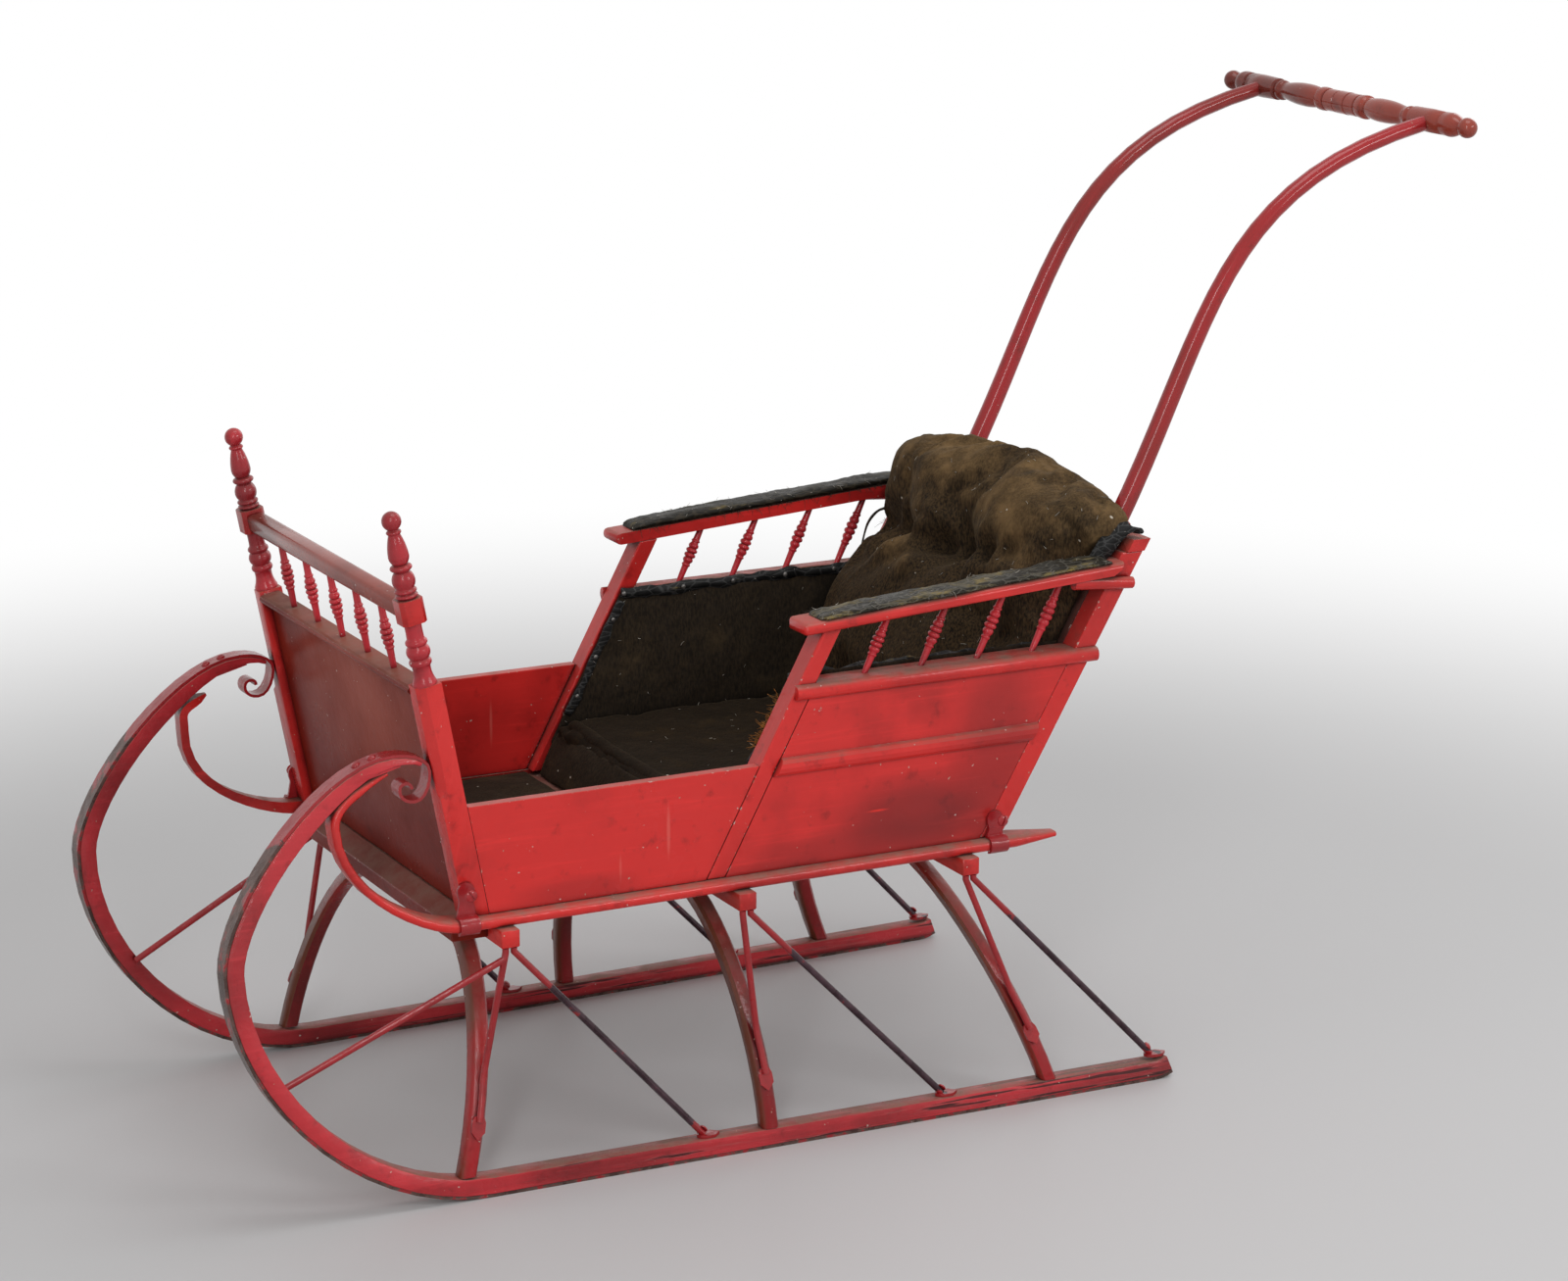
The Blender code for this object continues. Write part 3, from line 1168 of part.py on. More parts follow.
# The back cushion leans on the board and spreads over the stiles above the armrests
back_near = max(board_offset + BACK_BOARD_THICKNESS, REAR_STILE_WIDTH * math.cos(back_angle)) + FIT * 2
back_middle = back_near + BACK_CUSHION_THICKNESS / 2
cushion_foot = up_back(cushion_top + FIT, back_near)
waist = up_back(rear_stile_top + BACK_CUSHION_WAIST, back_middle)
shoulder = up_back(rear_stile_top + BACK_CUSHION_SHOULDER, back_middle)
arch = up_back(rear_stile_top + BACK_CUSHION_TOP, back_middle) - shoulder
narrow = lining_inner - FIT
back_shape = [Vector((-narrow, cushion_foot)), Vector((narrow, cushion_foot)), Vector((narrow, waist)),
              Vector((cushion_half, waist + BACK_CUSHION_STEP))]
for i in range(9):
    share = i / 8
    y = cushion_half * (1 - 2 * share)
    back_shape.append(Vector((y, shoulder + arch * math.sin(math.pi * share) ** BACK_CUSHION_FULLNESS)))
back_shape += [Vector((-cushion_half, waist + BACK_CUSHION_STEP)), Vector((-narrow, waist))]
back = flat_mesh(back_shape, BACK_CUSHION_THICKNESS)
back.transform(Matrix(((0, 0, 1, 0), (1, 0, 0, 0), (0, 1, 0, 0), (0, 0, 0, 1))))
back.transform(BACK @ Matrix.Translation((back_middle, 0, 0)))
bevel(place("back_cushion", back, CLOTH), BACK_CUSHION_ROUND, 2, 50)

# Corner straps
STRAPS = (                      # name, x, top height
    ("front", SILL_FRONT_X - STRAP_WIDTH / 2 - FIT, STRAP_FRONT_TOP),
    ("rear", STRAP_REAR_X, STRAP_REAR_TOP),
)
for strap_name, strap_x, strap_top in STRAPS:
    for side_name, side in SIDES:
        outer = BODY_HALF + FIT
        face_foot = sill_top + FIT
        head_z = strap_top - STRAP_HEAD_RADIUS
        waist_z = head_z - STRAP_HEAD_RADIUS
        face = [(-STRAP_WIDTH / 2, face_foot), (STRAP_WIDTH / 2, face_foot), (STRAP_WAIST / 2, waist_z)]
        for i in range(7):
            angle = math.radians(-20 + 220 * i / 6)
            face.append((STRAP_HEAD_RADIUS * math.cos(angle), head_z + STRAP_HEAD_RADIUS * math.sin(angle)))
        face.append((-STRAP_WAIST / 2, waist_z))
        face_mesh = upright(flat_mesh(face, STRAP_THICKNESS))
        face_mesh.transform(Matrix.Translation((strap_x, side * (outer + STRAP_THICKNESS / 2), 0)))
        strap = place(f"corner_strap_{strap_name}_{side_name}", face_mesh, IRON)
        sill_outer = sill_middle_y + SILL_WIDTH / 2
        turn = SILL_HEIGHT / 2
        hook = [Vector((outer, face_foot))]
        for i in range(7):
            angle = math.radians(90 - 180 * i / 6)
            hook.append(Vector((sill_outer - turn + (turn + FIT * 1.5) * math.cos(angle),
                                sill_middle + (turn + FIT * 1.5) * math.sin(angle))))
        outside = [Vector((sill_outer - turn + (turn + STRAP_THICKNESS) * math.cos(angle),
                           sill_middle + (turn + STRAP_THICKNESS) * math.sin(angle)))
                   for angle in [math.radians(-90 + 180 * i / 6) for i in range(7)]]
        hook += outside + [Vector((outer, sill_middle + turn + STRAP_THICKNESS))]
        lip = along_x(hook, strap_x - STRAP_WIDTH / 2, strap_x + STRAP_WIDTH / 2, side)
        boolean(strap, lip, 'UNION')

# Handle
tip_share = ARM_ROD_TIP_RADIUS / ARM_ROD_RADIUS
rod_radii = [1.0, 1.0]
for i in range(ARM_ROD_STEPS + 1):
    rod_radii.append(1.0 + (tip_share - 1.0) * i / ARM_ROD_STEPS)
stretch = arm_rod_y / BAR_JOINT_Y
half_bar = [(y * stretch, radius) for y, radius in BAR_PROFILE]
half_bar += ball_points(BAR_BALL_Y * stretch, BAR_BALL_RADIUS, BALL_FOOT, BALL_POLE, BALL_STEPS)
bar_profile = [(-y, radius) for y, radius in half_bar[:0:-1]] + half_bar
bar = turned_mesh(bar_profile, TURNED_STEPS)
bar.transform(Matrix.Translation((BAR_X, 0, BAR_Z)) @ Matrix.Rotation(math.radians(-90), 4, 'X'))
bar_part = place("handlebar", bar, HANDLE_RED)
for side_name, side in SIDES:
    route = [Vector((point.x, side * arm_rod_y, point.y)) for point in rod_line]
    place("handle_arm_" + side_name, rod_mesh(route, ARM_ROD_RADIUS, rod_radii, ARM_ROD_SIDES), HANDLE_RED)
    deeper = route[-1] + (route[-1] - route[-2]).normalized() * FIT
    socket = rod_mesh((route[-2], deeper), ARM_ROD_TIP_RADIUS + SOCKET_CLEARANCE, resolution=ARM_ROD_SIDES)
    boolean(bar_part, socket, 'DIFFERENCE')
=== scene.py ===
# %% [markdown]
# This script dresses a child's push sleigh: bent wooden runners, a painted body with turned
# rails, a padded seat and a turned handlebar. The wooden and iron pieces come from the packed
# model, which fixes every size. The script gives them their old paint, and it makes the soft
# pieces and the small fittings itself. It starts from an empty file, so that the box around
# the frame is the sleigh's own.

# %% Load the frame
import json
import math
import random

import bmesh
import bpy
import numpy as np
from mathutils import Matrix, Vector, noise

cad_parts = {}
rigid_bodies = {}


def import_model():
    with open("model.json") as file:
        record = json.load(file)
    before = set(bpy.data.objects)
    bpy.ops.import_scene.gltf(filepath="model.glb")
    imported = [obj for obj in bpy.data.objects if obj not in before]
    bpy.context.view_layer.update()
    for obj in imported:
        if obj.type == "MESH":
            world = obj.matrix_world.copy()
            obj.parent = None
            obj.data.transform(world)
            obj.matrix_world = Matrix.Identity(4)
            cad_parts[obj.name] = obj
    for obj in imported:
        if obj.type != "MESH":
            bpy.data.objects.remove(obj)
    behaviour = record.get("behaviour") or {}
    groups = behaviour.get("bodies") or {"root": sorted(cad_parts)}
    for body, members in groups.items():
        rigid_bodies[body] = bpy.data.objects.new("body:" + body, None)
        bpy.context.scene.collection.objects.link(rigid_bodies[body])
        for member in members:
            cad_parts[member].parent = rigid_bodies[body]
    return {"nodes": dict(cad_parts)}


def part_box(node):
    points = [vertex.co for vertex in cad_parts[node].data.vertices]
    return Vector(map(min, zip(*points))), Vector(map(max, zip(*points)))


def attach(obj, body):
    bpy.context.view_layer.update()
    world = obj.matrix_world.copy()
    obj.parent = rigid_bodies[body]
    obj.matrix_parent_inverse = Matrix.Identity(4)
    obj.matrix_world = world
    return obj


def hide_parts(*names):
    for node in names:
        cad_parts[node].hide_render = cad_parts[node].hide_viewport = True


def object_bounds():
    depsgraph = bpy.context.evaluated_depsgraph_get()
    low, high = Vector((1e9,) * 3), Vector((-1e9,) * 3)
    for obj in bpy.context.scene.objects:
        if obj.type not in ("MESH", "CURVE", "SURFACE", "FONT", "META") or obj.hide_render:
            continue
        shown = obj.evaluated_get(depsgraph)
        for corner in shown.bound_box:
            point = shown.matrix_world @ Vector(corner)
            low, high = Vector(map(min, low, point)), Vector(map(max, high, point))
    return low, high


SIDES = (("left", 1), ("right", -1))
NOISE_SEED = 7                      # without one, Blender shifts its noise by the clock

noise.seed_set(NOISE_SEED)

for left_over in list(bpy.data.objects):
    bpy.data.objects.remove(left_over, do_unlink=True)
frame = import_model()
nodes = frame["nodes"]
scene = bpy.context.scene
cad_low, cad_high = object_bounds()
print("nodes", len(nodes), "size", [round(x, 4) for x in cad_high - cad_low])


# %% [markdown]
# Forms are built point by point in a working shape, which then becomes a mesh. Most of them
# are a tube through rings of points, or two sheets closed round their rim, so both are
# written once. A piece is a mesh with one finish that rides on the root, the sleigh's only
# body.

# %% Mesh helpers
def link(name, data):
    """Put a mesh, lamp or camera into the scene."""
    thing = bpy.data.objects.new(name, data)
    scene.collection.objects.link(thing)
    return thing


def mesh_of(name, shape):
    """Turn a working shape into a mesh, and let the shape go."""
    mesh = bpy.data.meshes.new(name)
    shape.to_mesh(mesh)
    shape.free()
    return mesh


def closed_mesh(name, shape):
    """Turn a closed working shape into a mesh whose faces all look outwards."""
    bmesh.ops.recalc_face_normals(shape, faces=shape.faces)
    return mesh_of(name, shape)


def tube(shape, rings):
    """Join rings of points into a tube with closed ends."""
    made = [[shape.verts.new(point) for point in ring] for ring in rings]
    for first, second in zip(made, made[1:]):
        for j in range(len(first)):
            k = (j + 1) % len(first)
            shape.faces.new((first[j], first[k], second[k], second[j]))
    shape.faces.new(made[0][::-1])
    shape.faces.new(made[-1])


def shell(shape, back, front):
    """Join two sheets, each a grid of points, and close them round their rim."""
    columns, rows = len(back) - 1, len(back[0]) - 1
    for i in range(columns):
        for j in range(rows):
            shape.faces.new((back[i][j], back[i][j + 1], back[i + 1][j + 1], back[i + 1][j]))
            shape.faces.new((front[i][j], front[i + 1][j], front[i + 1][j + 1], front[i][j + 1]))
    rim = ([(i, 0) for i in range(columns)] + [(columns, j) for j in range(rows)]
           + [(i, rows) for i in range(columns, 0, -1)] + [(0, j) for j in range(rows, 0, -1)])
    for (i, j), (k, m) in zip(rim, rim[1:] + rim[:1]):
        shape.faces.new((back[i][j], back[k][m], front[k][m], front[i][j]))


def make_piece(name, mesh, material, stands_for=()):
    """Make a finished mesh a piece of the sleigh, in place of the nodes that it stands for."""
    thing = link(name, mesh)
    mesh.materials.clear()
    mesh.materials.append(material)
    mesh.shade_smooth()
    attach(thing, "root")
    if stands_for:
        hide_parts(*stands_for)
    return thing


print("mesh helpers ready")

# %% [markdown]
# The camera stands where the photographer stood: to the sleigh's left, ahead of it and a
# little above the handlebar. A long lens keeps the sleigh's far side nearly as large as its
# near side. The small shift moves the picture on the sensor without turning the camera.

# %% Camera
CAMERA_PLACE = Vector((1.9255, 3.7552, 1.5432))
CAMERA_AZIMUTH = math.radians(152.85)
CAMERA_ELEVATION = math.radians(14.64)
CAMERA_ROLL = math.radians(0.11)
CAMERA_LENS = 98.14
CAMERA_SHIFT = (0.0027, -0.0003)

backwards = Vector((math.sin(CAMERA_AZIMUTH) * math.cos(CAMERA_ELEVATION),
                    -math.cos(CAMERA_AZIMUTH) * math.cos(CAMERA_ELEVATION),
                    math.sin(CAMERA_ELEVATION)))
camera_data = bpy.data.cameras.new("camera")
camera_data.lens = CAMERA_LENS
camera_data.shift_x, camera_data.shift_y = CAMERA_SHIFT
camera_data.clip_end = 100.0
camera = link("camera", camera_data)
camera.location = CAMERA_PLACE
aimed = (-backwards).to_track_quat("-Z", "Y").to_matrix() @ Matrix.Rotation(CAMERA_ROLL, 3, "Z")
camera.rotation_euler = aimed.to_euler()
bpy.context.scene.camera = camera
print("camera", [round(x, 3) for x in camera.location])

# %% [markdown]
# Four lamps stand for the windows of a bright hall. The key and the tall window light the
# sleigh's left side, which is why that side is a clear red while the front stays brown. They
# stand where long bright lines show in the gloss paint of the rods, because a round rod
# shines back a lamp that lies on the same cone about the rod as the eye. None of the lamps is
# seen itself.

# %% Lamps
LAMPS = (                           # name, place, aim, width, height, watts
    ("key", (-2.2, 3.6, 2.3), (0.0, 0.0, 0.4), 1.7, 0.6, 37.0),
    ("top", (-0.4, 0.6, 4.2), (0.0, 0.0, 0.3), 2.0, 2.0, 42.0),
    ("window", (2.1, 3.1, 2.1), (-0.2, 0.1, 0.5), 0.6, 2.2, 40.0),
    ("rim", (-3.6, -1.8, 2.4), (-0.2, 0.0, 0.5), 2.0, 2.0, 22.0),
)
for lamp_name, place, aim, width, height, watts in LAMPS:
    lamp_data = bpy.data.lights.new(lamp_name, "AREA")
    lamp_data.shape = "RECTANGLE"
    lamp_data.size = width
    lamp_data.size_y = height
    lamp_data.energy = watts
    lamp = link(lamp_name, lamp_data)
    lamp.location = place
    lamp.rotation_euler = (Vector(aim) - Vector(place)).to_track_quat("-Z", "Y").to_euler()
    lamp.visible_camera = False
print("lamps", len(LAMPS))


# %% [markdown]
# Materials are node trees. These short helpers add a node, set its values and link its
# sockets in one call, so that a finish can be read from top to bottom like a recipe. A value
# in the dictionary is either a plain number or colour, or an output socket of another node.

# %% Node helpers
def fill(tree, node, values):
    """Give a node's inputs their values, or link them to other nodes."""
    for key, value in values.items():
        if isinstance(value, bpy.types.NodeSocket):
            tree.links.new(value, node.inputs[key])
        elif isinstance(value, tuple) and len(value) == 3 and node.inputs[key].type == "RGBA":
            node.inputs[key].default_value = (*value, 1.0)
        else:
            node.inputs[key].default_value = value


def add(tree, kind, values=None, **settings):
    """Add a shader node, fill in its inputs and return it."""
    made = tree.nodes.new("ShaderNode" + kind)
    for key, value in settings.items():
        setattr(made, key, value)
    fill(tree, made, values or {})
    return made


def maths(tree, operation, first, second):
    """Return first (operation) second as a socket."""
    return add(tree, "Math", {0: first, 1: second}, operation=operation).outputs[0]


def product(tree, first, second):
    """Return first times second as a socket."""
    return maths(tree, "MULTIPLY", first, second)


def cloud(tree, where, scale, detail=4.0, rough=0.55):
    """Return soft random noise as a socket."""
    values = {"Vector": where, "Scale": scale, "Detail": detail, "Roughness": rough}
    return add(tree, "TexNoise", values).outputs["Fac"]


def between(tree, value, low, high, out_low=0.0, out_high=1.0):
    """Return 0 below low and 1 above high, smooth between, or other ends."""
    values = {"Value": value, "From Min": low, "From Max": high, "To Min": out_low, "To Max": out_high}
    return add(tree, "MapRange", values, interpolation_type="SMOOTHSTEP").outputs["Result"]


def blend(tree, share, first, second):
    """Return two colours mixed by a share."""
    return add(tree, "Mix", {0: share, 6: first, 7: second}, data_type="RGBA").outputs[2]


def stretched(tree, where, scale, turn=(0.0, 0.0, 0.0)):
    """Return coordinates turned, then scaled on each axis, to stretch a texture."""
    turned = add(tree, "Mapping", {"Vector": where, "Rotation": turn}, vector_type="POINT")
    return add(tree, "Mapping", {"Vector": turned.outputs[0], "Scale": scale}).outputs[0]


def relief(tree, height, distance, below=None):
    """Return a normal with the height as bumps, on top of another relief."""
    values = {"Height": height, "Distance": distance, "Strength": 1.0}
    if below is not None:
        values["Normal"] = below
    return add(tree, "Bump", values).outputs[0]


def new_material(name):
    """Return a new material, its tree, its Principled shader and the place of a point."""
    made = bpy.data.materials.new(name)
    made.use_nodes = True
    tree = made.node_tree
    where = add(tree, "TexCoord").outputs["Object"]
    return made, tree, tree.nodes["Principled BSDF"], where


def is_seen(tree):
    """Return 1 where the eye meets a point, directly, in a reflection or through glass."""
    path = add(tree, "LightPath").outputs
    seen = maths(tree, "MAXIMUM", path["Is Camera Ray"], path["Is Glossy Ray"])
    return maths(tree, "MAXIMUM", seen, path["Is Transmission Ray"])


print("node helpers ready")

# %% [markdown]
# The world is dim for the lighting, but white to the camera and in reflections, as a white
# room would be. The plain view transform shows each colour about as it is written here.

# %% White room
WHITE = (1.0, 1.0, 1.0)
WORLD_TINT = (1.0, 0.98, 0.95)
WORLD_LIGHT = 0.36

scene.view_settings.view_transform = "Standard"
world = bpy.data.worlds.new("white room")
scene.world = world
world.use_nodes = True
tree = world.node_tree
dim = tree.nodes["Background"]
fill(tree, dim, {"Color": WORLD_TINT, "Strength": WORLD_LIGHT})
white = add(tree, "Background", {"Color": WHITE, "Strength": 1.0})
both = add(tree, "MixShader", {0: is_seen(tree), 1: dim.outputs[0], 2: white.outputs[0]})
fill(tree, tree.nodes["World Output"], {"Surface": both.outputs[0]})
print("world light", WORLD_LIGHT)

# %% [markdown]
# The floor is one wide disc, pale grey near the sleigh, where it takes the shadow. Further
# out it turns to plain white, by its distance from the middle and not by where the camera
# is, so the background is white from every side.

# %% Floor
FLOOR_RADIUS = 30.0
FLOOR_COLOUR = (0.60, 0.60, 0.61)
FLOOR_ROUGH = 0.55
FADE_START = 1.0
FADE_END = 2.6

shape = bmesh.new()
bmesh.ops.create_circle(shape, cap_ends=True, segments=64, radius=FLOOR_RADIUS)
floor_mesh = mesh_of("floor", shape)
studio_floor = link("studio_floor", floor_mesh)
floor_paint, tree, shader, where = new_material("studio_floor")
fill(tree, shader, {"Base Color": FLOOR_COLOUR, "Roughness": FLOOR_ROUGH})
far = add(tree, "VectorMath", {0: where}, operation="LENGTH").outputs["Value"]
shown = product(tree, between(tree, far, FADE_START, FADE_END), is_seen(tree))
glow = add(tree, "Emission", {"Color": WHITE, "Strength": 1.0})
both = add(tree, "MixShader", {0: shown, 1: shader.outputs[0], 2: glow.outputs[0]})
fill(tree, tree.nodes["Material Output"], {"Surface": both.outputs[0]})
floor_mesh.materials.append(floor_paint)
print("floor radius", FLOOR_RADIUS, "m")

# %% [markdown]
# The wood wears an old gloss paint, put on by hand more than once. It is mixed from a few
# layers, each a helper of its own: brush strokes along the grain with darker patches where
# hands and weather browned it, cracks where the wood dried along its grain with a painted
# highlight on their lips, single scuffs and stains and a painted glare, and pale dots,
# chips, scratches and rubbed edges, the edges partly a painted highlight.

# %% Layers of old paint
ALONG = (0.0, 0.0, 0.0)
CRACKS_END = (0.42, 0.34)           # ahead of this stretch of x a runner bends and has no cracks


def brushed(tree, where, noises, colour, browned, brown):
    """Return paint with browned patches, large and small, and lighter brush strokes."""
    stroke, patch, small = noises
    drift = cloud(tree, where, 3.2, 3.0, 0.55)
    light = tuple(min(1.0, 1.3 * x + 0.006) for x in colour)
    shade = blend(tree, product(tree, between(tree, patch, 0.42, 0.68), brown), colour, browned)
    shade = blend(tree, between(tree, drift, 0.44, 0.64, 0.0, 0.55), shade, browned)
    shade = blend(tree, between(tree, stroke, 0.5, 0.78, 0.0, 0.5), shade, light)
    return blend(tree, between(tree, small, 0.56, 0.76, 0.0, 0.55), shade, browned)


def drying_cracks(tree, where, grain, cracked):
    """Return how much of a point is crack, and how much is a painted highlight on a crack's lip."""
    split = cloud(tree, stretched(tree, where, (5.0, 240.0, 240.0), grain), 1.0, 3.0, 0.6)
    straight = between(tree, add(tree, "SeparateXYZ", {0: where}).outputs["X"], *CRACKS_END)
    crack = product(tree, between(tree, split, 0.58, 0.62, 0.0, cracked), straight)
    lip_highlight = product(tree, between(tree, split, 0.53, 0.58, 0.0, 0.6 * cracked), straight)
    return crack, lip_highlight


def scuffs_stains_and_glare(tree, where, patch, shade, marks):
    """Return a shade with single scuffs and stains, and a painted glare, laid over it."""
    for middle, stretch, reach, mark_colour, strength in marks:
        centre = tuple(a * b for a, b in zip(middle, stretch))
        gone = add(tree, "VectorMath", {0: stretched(tree, where, stretch), 1: centre}, operation="DISTANCE")
        ragged = maths(tree, "ADD", gone.outputs["Value"], product(tree, patch, reach * 0.6))
        share = between(tree, ragged, reach * 1.3, reach * 0.5, 0.0, strength)
        shade = blend(tree, share, shade, mark_colour)
    return shade


def pale_spots(tree, where, edge_wear_and_highlight):
    """Return where the paint is pale: gone in dots, chips and scratches, and on rubbed edges partly worn and
    partly a painted highlight.
    """
    shaken = add(tree, "TexNoise", {"Vector": where, "Scale": 160.0}).outputs["Color"]
    nudged = add(tree, "VectorMath", {0: shaken, 1: (0.006, 0.006, 0.006)}, operation="MULTIPLY").outputs[0]
    nudged = add(tree, "VectorMath", {0: nudged, 1: where}, operation="ADD").outputs[0]
    speck = add(tree, "TexVoronoi", {"Vector": nudged, "Scale": 260.0})
    chosen = add(tree, "SeparateColor", {0: speck.outputs["Color"]}).outputs[0]
    chosen = maths(tree, "GREATER_THAN", chosen, 0.978)
    dots = product(tree, between(tree, speck.outputs["Distance"], 0.26, 0.16), chosen)
    chip = between(tree, cloud(tree, where, 80.0, 6.0, 0.72), 0.715, 0.735)
    scratched = stretched(tree, where, (9.0, 600.0, 600.0), (0.3, 0.5, 0.4))
    scratch = between(tree, cloud(tree, scratched, 1.0, 2.0), 0.77, 0.80, 0.0, 0.5)
    pale = maths(tree, "MAXIMUM", maths(tree, "MAXIMUM", dots, chip), scratch)
    # Rubbed edges: partly worn pale, partly a painted highlight along the edge.
    if edge_wear_and_highlight:
        rubbed = cloud(tree, where, 170.0, 5.0, 0.7)
        rubbed = between(tree, rubbed, 0.66 - 0.25 * edge_wear_and_highlight, 0.72 - 0.25 * edge_wear_and_highlight)
        pale = maths(tree, "MAXIMUM", pale, rubbed)
    return pale


print("paint layers ready")

# %% [markdown]
# The finish puts the layers together. Dust lies on whatever faces up, faces that look ahead
# get a patchy brown painted shade, and closed-in corners are darkened with painted shade.
# The corners come from ambient occlusion, which asks how closed in a point is. The gloss is
# a clear coat, thinner where dust lies.

# %% Old paint
DUST = (0.27, 0.165, 0.130)
# These two pale colours also make the painted highlight along rubbed edges.
BARE_WOOD = (0.44, 0.24, 0.17)
CHALKY_PAINT = (0.66, 0.54, 0.50)
# The lighter red below is a painted highlight on the lips of cracks.
CRACK_LIP_HIGHLIGHT = (0.52, 0.09, 0.09)
# The near black below darkens cracks, and is also painted shade in closed-in corners.
GRIME_AND_SHADE = (0.014, 0.006, 0.006)
# The brown below is painted shade on faces that look ahead.
AHEAD_SHADE_COLOUR = (0.140, 0.042, 0.020)
CORNER_REACH = 0.012


def old_paint(name, colour, browned, grain=ALONG, gloss=0.27, dust=0.8, brown=0.5, ahead_shade=0.0,
              lumpy=0.3, cracked=0.0, edge_wear_and_highlight=0.0, marks=(), shine=0.07, coat=0.5):
    """Return gloss paint over wood whose grain lies along X after the turn."""
    made, tree, shader, where = new_material(name)
    stroke = cloud(tree, stretched(tree, where, (8.0, 120.0, 120.0), grain), 1.0, 8.0, 0.7)
    patch = cloud(tree, where, 6.5, 5.0, 0.6)
    small = cloud(tree, where, 45.0, 4.0, 0.6)
    crack, lip_highlight = drying_cracks(tree, where, grain, cracked)
    shade = brushed(tree, where, (stroke, patch, small), colour, browned, brown)
    # Painted highlight on the lips of the cracks.
    shade = blend(tree, lip_highlight, shade, CRACK_LIP_HIGHLIGHT)
    shade = blend(tree, crack, shade, GRIME_AND_SHADE)
    shade = scuffs_stains_and_glare(tree, where, patch, shade, marks)
    # Painted shade: closed-in corners, grooves and joints darken towards near black.
    corner_shade = add(tree, "AmbientOcclusion", {"Distance": CORNER_REACH}, samples=6).outputs["AO"]
    shade = blend(tree, between(tree, corner_shade, 0.80, 0.35, 0.0, 0.85), shade, GRIME_AND_SHADE)

    facing = add(tree, "SeparateXYZ", {0: add(tree, "NewGeometry").outputs["Normal"]}).outputs
    # Painted shade: faces that look ahead are browned in patches.
    if ahead_shade:
        ahead = between(tree, facing["X"], 0.15, 0.75, 0.0, ahead_shade)
        shade = blend(tree, product(tree, ahead, between(tree, patch, 0.3, 0.55)), shade, AHEAD_SHADE_COLOUR)
    broken = between(tree, small, 0.25, 0.75, 0.35, 1.0)
    dusty = product(tree, between(tree, facing["Z"], 0.30, 0.95, 0.0, dust), broken)
    shade = blend(tree, dusty, shade, DUST)
    pale = pale_spots(tree, where, edge_wear_and_highlight)
    pale_colour = blend(tree, between(tree, small, 0.4, 0.6), BARE_WOOD, CHALKY_PAINT)

    rough = between(tree, patch, 0.3, 0.7, gloss, gloss + 0.14)
    rough = maths(tree, "ADD", rough, product(tree, dusty, 0.35))
    rough = maths(tree, "ADD", rough, product(tree, pale, 0.2))
    bumps = relief(tree, stroke, 0.0005 * lumpy)
    bumps = relief(tree, cloud(tree, where, 95.0, 4.0), 0.0011 * lumpy, bumps)
    bumps = relief(tree, maths(tree, "SUBTRACT", 1.0, crack), 0.0006, bumps)
    bumps = relief(tree, maths(tree, "SUBTRACT", 1.0, pale), 0.00020, bumps)
    clean = maths(tree, "SUBTRACT", 1.0, dusty)
    fill(tree, shader, {"Base Color": blend(tree, pale, shade, pale_colour), "Roughness": rough,
                        "Normal": bumps, "Specular IOR Level": shine,
                        "Coat Weight": product(tree, clean, coat),
                        "Coat Roughness": product(tree, rough, 0.5), "Coat Normal": bumps})
    return made


print("corners reach", CORNER_REACH, "m")

# %% [markdown]
# The same red has aged in its own way on each kind of piece. The grain turns with the wood,
# so the brush strokes and cracks do too. Each finish has a second paint for the thin faces
# that a bevel makes, where it is rubbed down to pale wood, partly as a painted highlight
# along the edge. The dash has gone dull and brown and carries a painted glare on its upper
# middle, and the side panels carry the few large stains and scuffs.

# %% Finishes
RED = (0.68, 0.028, 0.025)
DEEP_RED = (0.20, 0.010, 0.010)
STILE_TURN = (0.0, -math.radians(61.6), 0.0)
POST_TURN = (0.0, -math.radians(79.2), 0.0)
UPRIGHT = (0.0, math.radians(90), 0.0)
ACROSS = (0.0, 0.0, math.radians(90))

